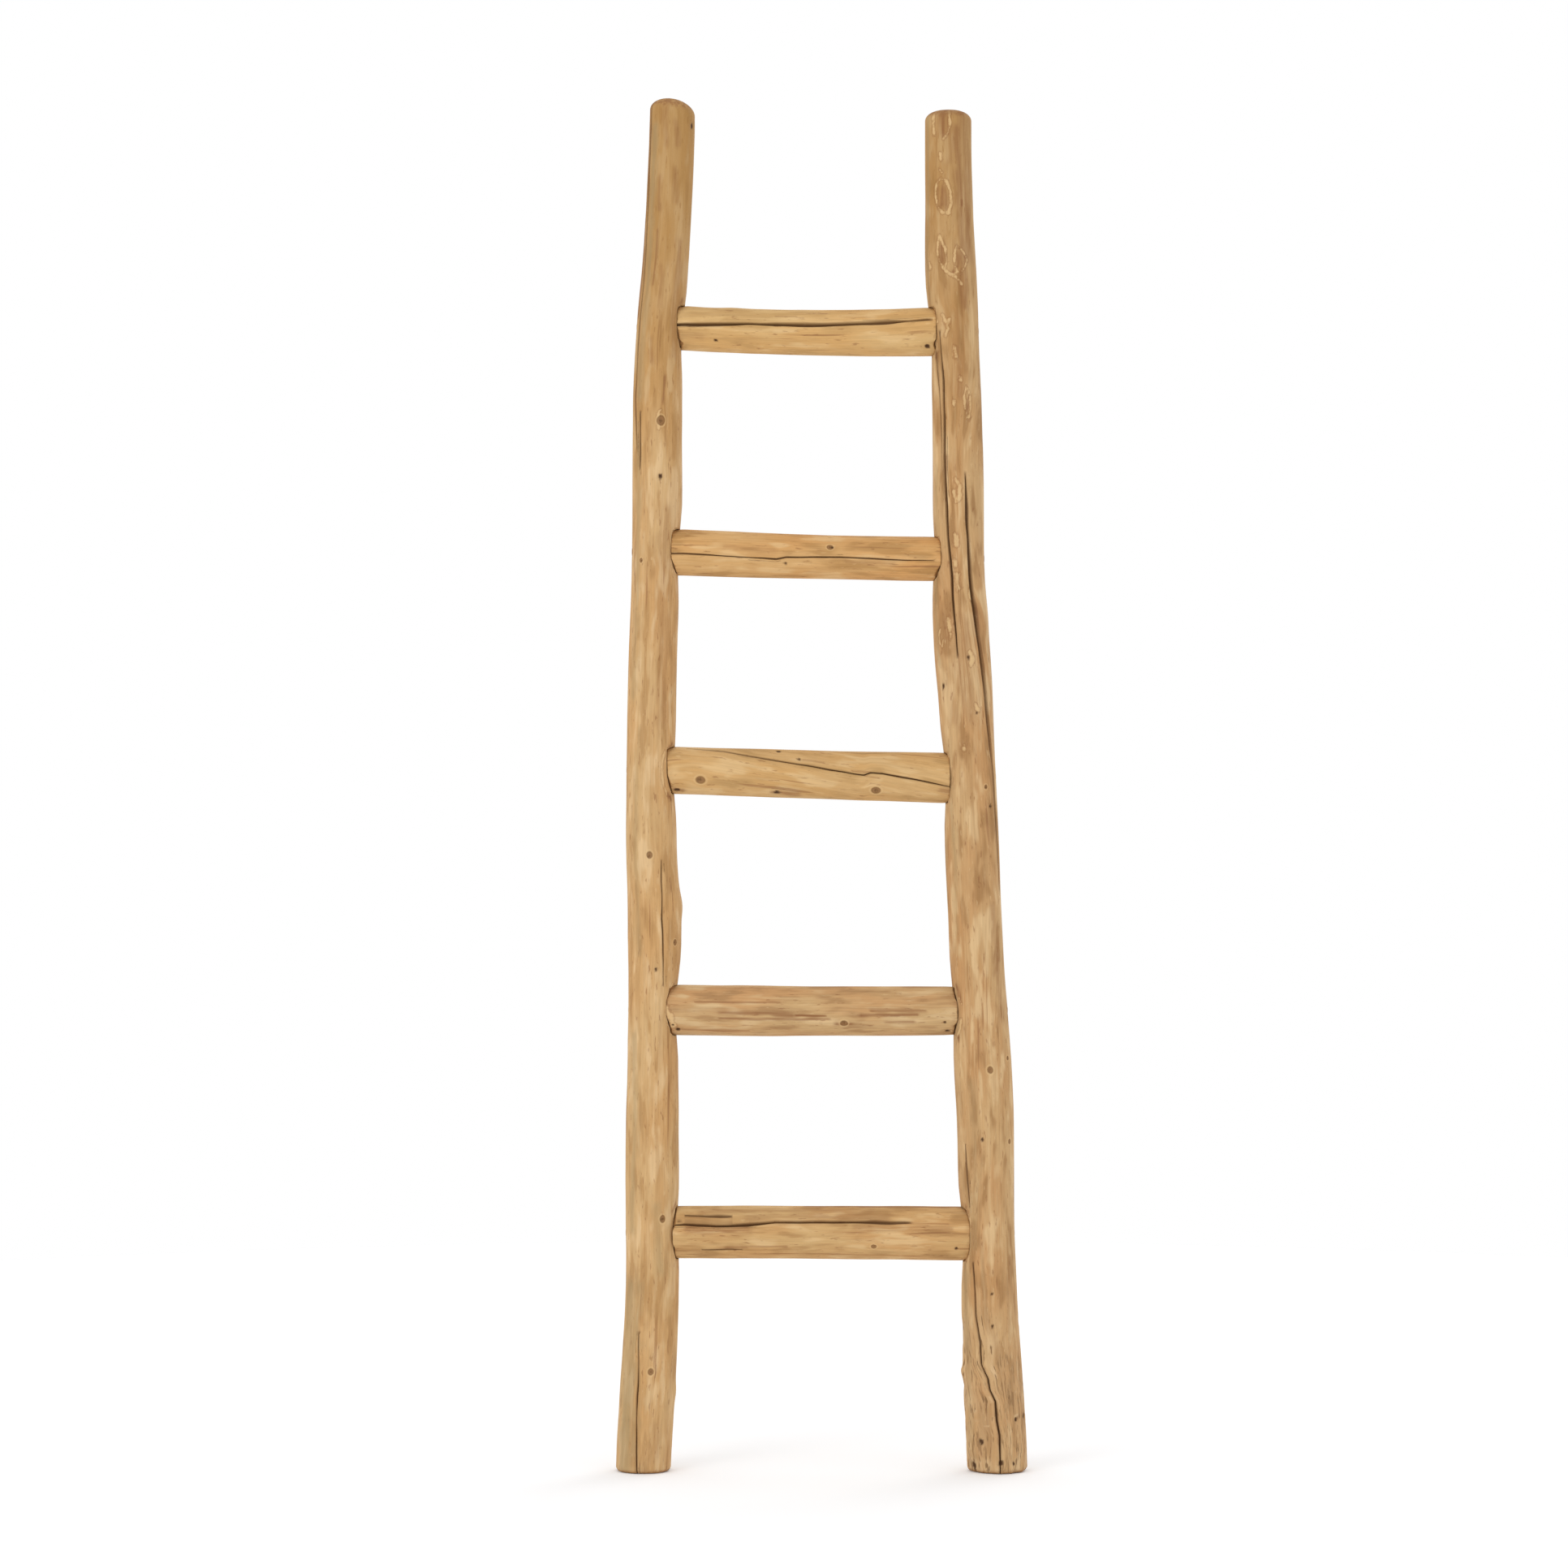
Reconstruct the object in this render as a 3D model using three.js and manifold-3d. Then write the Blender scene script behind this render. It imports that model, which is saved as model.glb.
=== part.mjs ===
// A rustic ladder of peeled round wood: two slightly crooked poles and five rungs.
// Each rung is let into the poles by its whole section, and has a round tenon in a blind mortise
// at both ends.
// A countersunk steel screw holds each tenon from the pole's outer face, under a wooden plug.
// Millimetres. +Z runs up the ladder, +X to its right, and the front faces -Y.

import * as THREE from 'three';
import { mergeVertices } from 'three/addons/utils/BufferGeometryUtils.js';
import Module from 'manifold-3d';

// ---------------------------------------------------------------- driving dimensions

// Stations along a pole: [height, centre X, centre Y, width across X].
const LEFT_POLE = {
  height: 1700,
  dome: 18,
  domeFullness: 1.0,
  shoulderTilt: -4,
  stations: [
    [0, -221, -1, 68.5],
    [60, -218.5, -2, 68.5],
    [120, -214.5, -3, 68.5],
    [175, -211.5, -3, 66.5],
    [230, -209, -2, 67.5],
    [310, -209.5, -1, 67.5],
    [410, -210, 0, 65.5],
    [510, -209, 0, 63.5],
    [610, -207.5, -1, 64.5],
    [690, -206.5, -2, 66.5],
    [745, -210.5, -2, 62.5],
    [810, -211.5, -2, 62],
    [910, -211, -1, 60.5],
    [1010, -209, 0, 59.5],
    [1090, -206.5, 1, 60.5],
    [1170, -203.5, 1, 62.5],
    [1260, -204, 0, 61.5],
    [1340, -203.5, -1, 60.5],
    [1400, -201, -2, 60],
    [1450, -197.5, -3, 59],
    [1510, -192, -3, 56],
    [1570, -189, -2, 56],
    [1630, -186, -1, 56.5],
    [1700, -184, 0, 56.5],
  ],
};
const RIGHT_POLE = {
  height: 1686,
  dome: 14,
  domeFullness: 0.75,
  shoulderTilt: 0,
  stations: [
    [0, 218, -1, 75],
    [50, 216, -1, 76],
    [100, 212.5, -2, 75],
    [150, 211, -2, 71.5],
    [230, 207, -2, 69.5],
    [290, 205.5, -2, 68.5],
    [350, 204, -2, 69.5],
    [410, 204, -1, 71.5],
    [470, 202, -1, 71.5],
    [550, 196, -1, 72.5],
    [600, 193.5, -1, 70],
    [650, 191.5, -2, 67],
    [755, 187, -2, 67.5],
    [850, 183, -2, 67],
    [935, 179.5, -1, 66.5],
    [1015, 174.5, -1, 70.5],
    [1060, 171.5, 0, 69],
    [1110, 169, 0, 64],
    [1220, 169.5, -1, 64.5],
    [1320, 167.5, -2, 61],
    [1380, 165, -2, 61.5],
    [1440, 161, -1, 65],
    [1500, 160, 0, 63.5],
    [1560, 158, 0, 59],
    [1620, 157.5, 1, 58],
    [1686, 157, 1, 57.5],
  ],
};

// Rungs from the top: heights of the centre line and upright diameters at the left end,
// middle and right end, and the front-to-back thickness as a share of the upright diameter.
const RUNGS = [
  { heights: [1416, 1410, 1411], diameters: [55, 56, 61], flatness: 0.84 },
  { heights: [1138, 1132.5, 1129.5], diameters: [57.5, 55.5, 55.5], flatness: 0.88 },
  { heights: [867.5, 862.5, 858], diameters: [58, 60, 62], flatness: 0.84 },
  { heights: [570.5, 569, 569.5], diameters: [63, 62.5, 62], flatness: 0.86 },
  { heights: [295, 294.5, 293.5], diameters: [65.5, 66.5, 67.5], flatness: 0.82 },
];

const POLE_SIDES = 24;
const POLE_RING_STEP = 62;
const POLE_FLATNESS = 0.97;
const FOOT_CHAMFER = { height: 5, inset: 0.1 };
const DOME_STEPS = 4;
const RUNG_SIDES = 24;
const RUNG_RINGS = 9;

const TENON_DIAMETER = 36;
const TENON_SIDES = 24;
const TENON_PAST_AXIS = 8;
const TENON_OVERLAP = 12;

// How deep the end of a rung's full section sits in a pole, from the pole's inner face.
const SEAT_DEPTH = 9;

const SCREW = { headDiameter: 9, headLength: 4.5, shankDiameter: 4.8, length: 62, tip: 7, sides: 12 };
const PLUG = { diameter: 12, length: 9, chamfer: 0.8, sides: 20 };

// Every pair of pieces that touch keeps this gap, and a mortise is this much deeper than its tenon.
const GAP = 0.3;

// Slivers that the cuts leave in a pole are closed up within this distance.
const SLIVER = 0.05;

// ---------------------------------------------------------------- materials

const poleLeftWood = new THREE.MeshStandardMaterial({ color: 0xc59a67, roughness: 0.8, metalness: 0 });
const poleRightWood = new THREE.MeshStandardMaterial({ color: 0xbc9060, roughness: 0.82, metalness: 0 });
const rungWood = new THREE.MeshStandardMaterial({ color: 0xcfa26d, roughness: 0.78, metalness: 0 });
const plugWood = new THREE.MeshStandardMaterial({ color: 0xb98a56, roughness: 0.8, metalness: 0 });
const screwSteel = new THREE.MeshStandardMaterial({ color: 0x9a9a94, roughness: 0.35, metalness: 1 });

// ---------------------------------------------------------------- solids

const wasm = await Module();
wasm.setup();

// Shared vertices are merged, and the slivers that the merge leaves on a lathe's axis dropped.
function toSolid(source) {
  const geometry = source.clone();
  geometry.deleteAttribute('normal');
  geometry.deleteAttribute('uv');
  const merged = mergeVertices(geometry, 1e-4);
  const triangles = [];
  for (let i = 0; i < merged.index.count; i += 3) {
    const corners = [0, 1, 2].map((k) => merged.index.getX(i + k));
    if (new Set(corners).size === 3) {
      triangles.push(...corners);
    }
  }
  const mesh = new wasm.Mesh({
    numProp: 3,
    vertProperties: new Float32Array(merged.attributes.position.array),
    triVerts: new Uint32Array(triangles),
  });
  return new wasm.Manifold(mesh);
}

function toGeometry(solid) {
  const mesh = solid.getMesh();
  const geometry = new THREE.BufferGeometry();
  geometry.setAttribute('position', new THREE.BufferAttribute(new Float32Array(mesh.vertProperties), 3));
  geometry.setIndex(new THREE.BufferAttribute(new Uint32Array(mesh.triVerts), 1));
  return geometry;
}

// A lathe around X whose profile is a list of [distance along X from the origin, radius].
// direction is +1 or -1, the way along X that the profile runs.
function latheAlongX(profile, sides, origin, direction) {
  const points = profile.map(([along, radius]) => new THREE.Vector2(radius, along));
  const geometry = new THREE.LatheGeometry(points, sides);
  geometry.rotateZ(-direction * Math.PI / 2);
  geometry.translate(origin.x, origin.y, origin.z);
  return geometry;
}

function rodAlongX(diameter, length, sides, origin, direction) {
  const radius = diameter / 2;
  const profile = [[0, 0], [0, radius], [length, radius], [length, 0]];
  return latheAlongX(profile, sides, origin, direction);
}

// ---------------------------------------------------------------- poles

// The smooth line through a pole's stations: its centre and half width at a height.
function poleLine(stations) {
  const heights = stations.map((station) => station[0]);
  const values = stations.flatMap((station) => station.slice(1));
  const curve = new THREE.CubicInterpolant(heights, values, 3);
  return (height) => {
    const [x, y, width] = curve.evaluate(height);
    return { x, y, radius: width / 2 };
  };
}

// The rings of a pole from foot to top: [height, share of the local radius].
function poleProfile(pole) {
  const shoulder = pole.height - pole.dome;
  const rings = [[0, 0], [0, 1 - FOOT_CHAMFER.inset], [FOOT_CHAMFER.height / 3, 1 - FOOT_CHAMFER.inset / 3]];
  const steps = Math.round((shoulder - FOOT_CHAMFER.height) / POLE_RING_STEP);
  for (let i = 0; i <= steps; i += 1) {
    rings.push([THREE.MathUtils.lerp(FOOT_CHAMFER.height, shoulder, i / steps), 1]);
  }
  for (let i = 1; i < DOME_STEPS; i += 1) {
    const angle = (i / DOME_STEPS) * (Math.PI / 2);
    rings.push([shoulder + pole.dome * Math.sin(angle), Math.cos(angle) ** pole.domeFullness]);
  }
  rings.push([pole.height, 0]);
  return rings;
}

// A lathe of unit radius is moved ring by ring onto the pole's line.
function poleGeometry(pole) {
  const line = poleLine(pole.stations);
  const profile = poleProfile(pole).map(([height, share]) => new THREE.Vector2(share, height));
  const geometry = new THREE.LatheGeometry(profile, POLE_SIDES);
  geometry.rotateX(Math.PI / 2);
  const position = geometry.attributes.position;
  for (let i = 0; i < position.count; i += 1) {
    const across = position.getX(i);
    const deep = position.getY(i);
    const height = position.getZ(i);
    const { x, y, radius } = line(height);
    const top = THREE.MathUtils.smoothstep(height, pole.height - 4 * pole.dome, pole.height - pole.dome);
    const tilt = -pole.shoulderTilt * across * top;
    position.setXYZ(i, x + across * radius, y + deep * radius * POLE_FLATNESS, height - tilt);
  }
  return geometry;
}

// Where a pole's surface lies in the rungs' plane at a height, on the side that sideSign points to.
function poleFace(pole, height, sideSign) {
  const { x, y, radius } = poleLine(pole.stations)(height);
  const share = y / (radius * POLE_FLATNESS);
  return x + sideSign * radius * Math.sqrt(1 - share * share);
}

// ---------------------------------------------------------------- rungs

// The two ends of a rung. axis is the point on the pole's axis, and seat the X of the rung's shoulder.
function rungEnds(rung) {
  const sides = [
    { pole: LEFT_POLE, height: rung.heights[0], outward: -1, name: 'left' },
    { pole: RIGHT_POLE, height: rung.heights[2], outward: 1, name: 'right' },
  ];
  return sides.map((side) => {
    const { x } = poleLine(side.pole.stations)(side.height);
    const seat = poleFace(side.pole, side.height, -side.outward) + side.outward * SEAT_DEPTH;
    return { ...side, seat, axis: new THREE.Vector3(x, 0, side.height) };
  });
}

// A unit lathe along X, moved onto a line through the left end, the middle and the right end.
// grow widens it all over and lengthens it at both ends.
function rungBody(rung, grow) {
  const [left, right] = rungEnds(rung);
  const start = left.seat - grow;
  const end = right.seat + grow;
  const curve = new THREE.QuadraticBezierCurve3(
    new THREE.Vector3(start, 0, rung.heights[0]),
    new THREE.Vector3((start + end) / 2, 0, 2 * rung.heights[1] - (rung.heights[0] + rung.heights[2]) / 2),
    new THREE.Vector3(end, 0, rung.heights[2]),
  );
  const [startDiameter, middleDiameter, endDiameter] = rung.diameters;
  const profile = [new THREE.Vector2(0, 0)];
  for (let i = 0; i < RUNG_RINGS; i += 1) {
    profile.push(new THREE.Vector2(1, i / (RUNG_RINGS - 1)));
  }
  profile.push(new THREE.Vector2(0, 1));
  const geometry = new THREE.LatheGeometry(profile, RUNG_SIDES);
  geometry.rotateZ(-Math.PI / 2);
  const position = geometry.attributes.position;
  for (let i = 0; i < position.count; i += 1) {
    const along = position.getX(i);
    const deep = -position.getZ(i);
    const up = position.getY(i);
    const centre = curve.getPoint(along);
    const straight = THREE.MathUtils.lerp(startDiameter, endDiameter, along);
    const bulge = middleDiameter - (startDiameter + endDiameter) / 2;
    const radius = (straight + bulge * Math.sin(Math.PI * along)) / 2;
    position.setXYZ(
      i,
      centre.x,
      deep * (radius * rung.flatness + grow),
      centre.z + up * (radius + grow),
    );
  }
  return geometry;
}

function tenon(end) {
  const tip = end.axis.clone();
  tip.x += end.outward * TENON_PAST_AXIS;
  const length = Math.abs(end.seat - tip.x) + TENON_OVERLAP;
  return rodAlongX(TENON_DIAMETER, length, TENON_SIDES, tip, -end.outward);
}

function mortise(end) {
  const floor = end.axis.clone();
  floor.x += end.outward * (TENON_PAST_AXIS + GAP);
  const length = 2 * end.pole.stations[0][3];
  return rodAlongX(TENON_DIAMETER + 2 * GAP, length, TENON_SIDES, floor, -end.outward);
}

// ---------------------------------------------------------------- screws and plugs

// The screw's head starts under the plug, and both lie on the tenon's axis.
function plugFace(end) {
  return new THREE.Vector3(poleFace(end.pole, end.height, end.outward), 0, end.height);
}

function plugGeometry(end) {
  const radius = PLUG.diameter / 2;
  const profile = [
    [0, 0],
    [0, radius - PLUG.chamfer],
    [PLUG.chamfer, radius],
    [PLUG.length, radius],
    [PLUG.length, 0],
  ];
  return latheAlongX(profile, PLUG.sides, plugFace(end), -end.outward);
}

function screwProfile(grow) {
  const head = SCREW.headDiameter / 2 + grow;
  const shank = SCREW.shankDiameter / 2 + grow;
  return [
    [-grow, 0],
    [-grow, head],
    [SCREW.headLength, shank],
    [SCREW.length - SCREW.tip, shank],
    [SCREW.length + grow, 0],
  ];
}

function screwGeometry(end, grow) {
  const start = plugFace(end);
  start.x -= end.outward * (PLUG.length + 2 * GAP);
  return latheAlongX(screwProfile(grow), SCREW.sides, start, -end.outward);
}

// The counterbore for the plug, open through the pole's outer face.
function plugBore(end) {
  const start = plugFace(end);
  start.x += end.outward * PLUG.length;
  return rodAlongX(PLUG.diameter + 2 * GAP, 2 * PLUG.length + GAP, PLUG.sides, start, -end.outward);
}

// ---------------------------------------------------------------- assembly

const group = new THREE.Group();

function addPiece(name, geometry, material) {
  const mesh = new THREE.Mesh(geometry, material);
  mesh.name = name;
  group.add(mesh);
}

const joints = RUNGS.map(rungEnds);
const seats = RUNGS.map((rung) => toSolid(rungBody(rung, GAP)));

const poles = [
  { name: 'pole_left', pole: LEFT_POLE, material: poleLeftWood, index: 0 },
  { name: 'pole_right', pole: RIGHT_POLE, material: poleRightWood, index: 1 },
];
for (const { name, pole, material, index } of poles) {
  let solid = toSolid(poleGeometry(pole));
  for (const seat of seats) {
    solid = solid.subtract(seat);
  }
  for (const ends of joints) {
    const end = ends[index];
    solid = solid.subtract(toSolid(mortise(end)));
    solid = solid.subtract(toSolid(screwGeometry(end, GAP)));
    solid = solid.subtract(toSolid(plugBore(end)));
  }
  addPiece(name, toGeometry(solid.simplify(SLIVER)), material);
}

RUNGS.forEach((rung, i) => {
  let solid = toSolid(rungBody(rung, 0));
  for (const end of joints[i]) {
    solid = solid.add(toSolid(tenon(end)));
    solid = solid.subtract(toSolid(screwGeometry(end, GAP)));
  }
  addPiece(`rung_${i + 1}`, toGeometry(solid), rungWood);
  for (const end of joints[i]) {
    addPiece(`screw_${end.name}_${i + 1}`, screwGeometry(end, 0), screwSteel);
    addPiece(`plug_${end.name}_${i + 1}`, plugGeometry(end), plugWood);
  }
});

// The origin is the middle of the box's bottom face.
const box = new THREE.Box3().setFromObject(group);
group.position.set(-(box.min.x + box.max.x) / 2, -(box.min.y + box.max.y) / 2, -box.min.z);

export default group;
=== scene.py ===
"""A rustic ladder of peeled round wood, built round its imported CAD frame.

Each pole and rung is a fine grid, fitted to its CAD solid by casting rays at it. Checks, knots, bark
scars and worn ends are moved into that grid, and written on it as attributes that colour the wood.
Metres, except in the lists of marks, which give millimetres along a piece and degrees round it.
"""

import math

import bpy
import numpy as np
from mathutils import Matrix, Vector
from mathutils.bvhtree import BVHTree


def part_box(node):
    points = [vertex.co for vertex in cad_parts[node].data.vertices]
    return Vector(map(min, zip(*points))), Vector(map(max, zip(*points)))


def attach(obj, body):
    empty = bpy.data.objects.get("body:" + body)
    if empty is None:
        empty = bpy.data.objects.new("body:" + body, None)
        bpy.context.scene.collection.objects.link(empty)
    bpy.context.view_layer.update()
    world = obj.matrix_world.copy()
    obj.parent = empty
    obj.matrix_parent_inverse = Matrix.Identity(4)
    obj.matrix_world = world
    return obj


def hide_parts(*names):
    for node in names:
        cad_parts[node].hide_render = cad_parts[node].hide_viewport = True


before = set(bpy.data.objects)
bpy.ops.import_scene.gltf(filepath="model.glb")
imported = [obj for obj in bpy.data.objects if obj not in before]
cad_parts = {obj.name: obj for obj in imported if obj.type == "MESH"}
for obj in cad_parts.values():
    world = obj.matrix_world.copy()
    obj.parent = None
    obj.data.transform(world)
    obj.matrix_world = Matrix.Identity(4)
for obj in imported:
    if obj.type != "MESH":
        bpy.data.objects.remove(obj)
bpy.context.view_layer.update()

MM = 0.001
FULL_TURN = 2 * math.pi
X_AXIS = np.array([1.0, 0.0, 0.0])
Z_AXIS = np.array([0.0, 0.0, 1.0])
FRONT = np.array([0.0, -1.0, 0.0])

SIDES = ("left", "right")
RUNG_NUMBERS = (1, 2, 3, 4, 5)

# Sizes that the CAD solids share.
TENON_RADIUS = 18 * MM
PLUG_RADIUS = 6 * MM
SCREW_RADIUS = 2.4 * MM
FIT_GAP = 0.3 * MM


# ---------------------------------------------------------------- camera, light and floor

PHOTO_WIDTH = 1.9436
CAMERA_DISTANCE = 6.0
CAMERA_RIGHT = -0.0468
CAMERA_HEIGHT = 0.8506
SENSOR_WIDTH = 36.0

LIGHTS = {
    "key": {"location": (-3.0, -4.2, 2.6), "power": 62},
    "back_fill": {"location": (2.6, 4.0, 2.8), "power": 40},
}
LIGHT_SIZE = 3.0
LIGHT_AIM = Vector((0, 0, 0.85))
FLOOR_RADIUS = 3.0
FLOOR_SIDES = 96
FLOOR_DROP = 0.5 * MM
FLOOR_COLOUR = (0.94, 0.945, 0.955, 1)


def add_camera():
    data = bpy.data.cameras.new("camera")
    data.sensor_width = SENSOR_WIDTH
    data.lens = SENSOR_WIDTH * CAMERA_DISTANCE / PHOTO_WIDTH
    camera = bpy.data.objects.new("camera", data)
    camera.location = (CAMERA_RIGHT, -CAMERA_DISTANCE, CAMERA_HEIGHT)
    camera.rotation_euler = (math.pi / 2, 0, 0)
    bpy.context.collection.objects.link(camera)
    bpy.context.scene.camera = camera


def add_area_light(name, location, power):
    data = bpy.data.lights.new(name, "AREA")
    data.shape = "DISK"
    data.size = LIGHT_SIZE
    data.energy = power
    light = bpy.data.objects.new(name, data)
    light.location = location
    aim = LIGHT_AIM - Vector(location)
    light.rotation_euler = aim.to_track_quat("-Z", "Y").to_euler()
    bpy.context.collection.objects.link(light)


def add_studio():
    scene = bpy.context.scene
    scene.view_settings.view_transform = "Standard"
    scene.view_settings.look = "None"
    world = bpy.data.worlds.new("studio")
    world.use_nodes = True
    background = world.node_tree.nodes["Background"]
    background.inputs["Color"].default_value = (1, 1, 1, 1)
    background.inputs["Strength"].default_value = 1.0
    scene.world = world
    for name, settings in LIGHTS.items():
        add_area_light(name, **settings)


def add_floor():
    turns = [FULL_TURN * i / FLOOR_SIDES for i in range(FLOOR_SIDES)]
    rim = [(FLOOR_RADIUS * math.cos(t), FLOOR_RADIUS * math.sin(t), -FLOOR_DROP) for t in turns]
    mesh = bpy.data.meshes.new("floor")
    mesh.from_pydata(rim, [], [range(FLOOR_SIDES)])
    floor = bpy.data.objects.new("floor", mesh)
    bpy.context.collection.objects.link(floor)
    material = bpy.data.materials.new("pale_floor")
    material.use_nodes = True
    surface = material.node_tree.nodes["Principled BSDF"]
    surface.inputs["Base Color"].default_value = FLOOR_COLOUR
    surface.inputs["Roughness"].default_value = 0.9
    mesh.materials.append(material)


# ---------------------------------------------------------------- numbers and noise


def smoothstep(low, high, value):
    share = np.clip((value - low) / (high - low), 0, 1)
    return share * share * (3 - 2 * share)


def wrap(angle):
    """An angle brought between minus half a turn and half a turn."""
    return (angle + math.pi) % FULL_TURN - math.pi


def grain_noise(seed, along, around, cell, cells_around):
    """Smooth noise from -1 to 1 whose cells are drawn out along the grain, closed round the piece."""
    rng = np.random.default_rng(seed)
    v = (along - along.min()) / cell
    u = (around % FULL_TURN) / FULL_TURN * cells_around
    lattice = rng.uniform(-1, 1, (int(v.max()) + 2, cells_around))
    row = np.floor(v).astype(int)
    column = np.floor(u).astype(int)
    down = smoothstep(0, 1, v - row)
    across = smoothstep(0, 1, u - column)
    left = column % cells_around
    right = (column + 1) % cells_around
    low = lattice[row, left] * (1 - across) + lattice[row, right] * across
    high = lattice[row + 1, left] * (1 - across) + lattice[row + 1, right] * across
    return low * (1 - down) + high * down


# ---------------------------------------------------------------- the shape of a CAD timber

RAYS = 48
HARMONICS = 4
STATION_STEP = 20 * MM
REACH = 70 * MM
SMOOTHING = 1.1
SMOOTHING_REACH = 4
CENTRING_ROUNDS = 3


def tree_of(node):
    return BVHTree.FromObject(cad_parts[node], bpy.context.evaluated_depsgraph_get())


def smooth_rows(table):
    """Each column of a table of stations, averaged with its neighbours."""
    reach = SMOOTHING_REACH
    offsets = np.arange(-reach, reach + 1)
    weights = np.exp(-0.5 * (offsets / SMOOTHING) ** 2)
    weights = weights / weights.sum()
    flipped_start = 2 * table[0] - table[reach:0:-1]
    flipped_end = 2 * table[-1] - table[-2:-reach - 2:-1]
    padded = np.vstack([flipped_start, table, flipped_end])
    count = len(table)
    return sum(w * padded[i:i + count] for i, w in enumerate(weights))


class Timber:
    """The centre line and sections of a CAD pole or rung, along axis from low to high.

    Angle 0 faces the front and a quarter turn faces side.
    """

    def __init__(self, node, axis, side, low, high, start, lowest_share):
        self.axis = axis
        self.side = side
        tree = tree_of(node)
        count = max(6, round((high - low) / STATION_STEP))
        self.stations = np.linspace(low, high, count)
        angles = FULL_TURN * np.arange(RAYS) / RAYS
        centre = start - axis * np.dot(start, axis)
        rows = []
        for station in self.stations:
            for _ in range(CENTRING_ROUNDS):
                radii = self.cast(tree, centre + axis * station, angles, lowest_share)
                shift = [2 * np.mean(radii * np.cos(angles)), 2 * np.mean(radii * np.sin(angles))]
                centre = centre + FRONT * shift[0] + side * shift[1]
            waves = np.fft.rfft(radii)[:HARMONICS + 1] / RAYS
            rows.append([np.dot(centre, FRONT), np.dot(centre, side), *waves.real, *waves.imag])
        self.table = smooth_rows(np.array(rows))

    def directions(self, angles):
        return np.multiply.outer(np.cos(angles), FRONT) + np.multiply.outer(np.sin(angles), self.side)

    def cast(self, tree, centre, angles, lowest_share):
        """Radii at the angles. Where a ray goes into a hole, the radius is read from its neighbours."""
        radii = []
        for direction in self.directions(angles):
            hit = tree.ray_cast(Vector(centre + direction * REACH), Vector(-direction), REACH)
            radii.append(np.nan if hit[3] is None else REACH - hit[3])
        radii = np.array(radii)
        good = radii > lowest_share * np.nanmedian(radii)
        return np.interp(angles, angles[good], radii[good], period=FULL_TURN)

    def value(self, column, along):
        return np.interp(along, self.stations, self.table[:, column])

    def radius(self, along, angle):
        waves = 2 + HARMONICS + 1
        total = self.value(2, along)
        for k in range(1, HARMONICS + 1):
            real = self.value(2 + k, along)
            imaginary = self.value(waves + k, along)
            total = total + 2 * (real * np.cos(k * angle) - imaginary * np.sin(k * angle))
        return total

    def points(self, along, angle, radius):
        centre = np.multiply.outer(self.value(0, along), FRONT)
        centre = centre + np.multiply.outer(self.value(1, along), self.side)
        centre = centre + np.multiply.outer(along, self.axis)
        return centre + self.directions(angle) * radius[..., None]


# ---------------------------------------------------------------- marks on the wood

# Columns of a grid follow a check, and let go of it between these distances past its ends.
HOLD_REACH = 5 * MM
RELAX_REACH = 150 * MM
SOLVER_ROUNDS = 8
COLUMNS_SQUEEZED = 5

# The relief of peeled wood, as height and length in millimetres, and cells round the piece.
RELIEF = [(0.5, 110, 5), (0.35, 60, 9), (0.16, 34, 28), (0.12, 22, 62)]

AMOUNTS = ("crack", "knot", "pit", "scar", "worn", "stain_and_shade", "grey")
KNOT_STRETCH = 1.25


def path_angle(path, along):
    """The angle of a path of (millimetres along, degrees) at places along the piece."""
    ordered = sorted(path)
    heights = [point[0] * MM for point in ordered]
    angles = [math.radians(point[1]) for point in ordered]
    return np.interp(along, heights, angles)


def path_presence(path, along):
    """1 in the middle of a path, falling to 0 at its two ends."""
    start, end = min(path)[0] * MM, max(path)[0] * MM
    share = np.clip((along - start) / (end - start), 0, 1)
    return np.clip(4 * share * (1 - share), 0, 1) ** 0.45


def path_reach(path, along):
    """1 beside a path, falling to 0 past its ends."""
    start, end = min(path)[0] * MM, max(path)[0] * MM
    past = np.maximum(start - along, along - end)
    return smoothstep(RELAX_REACH, HOLD_REACH, past)


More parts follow.
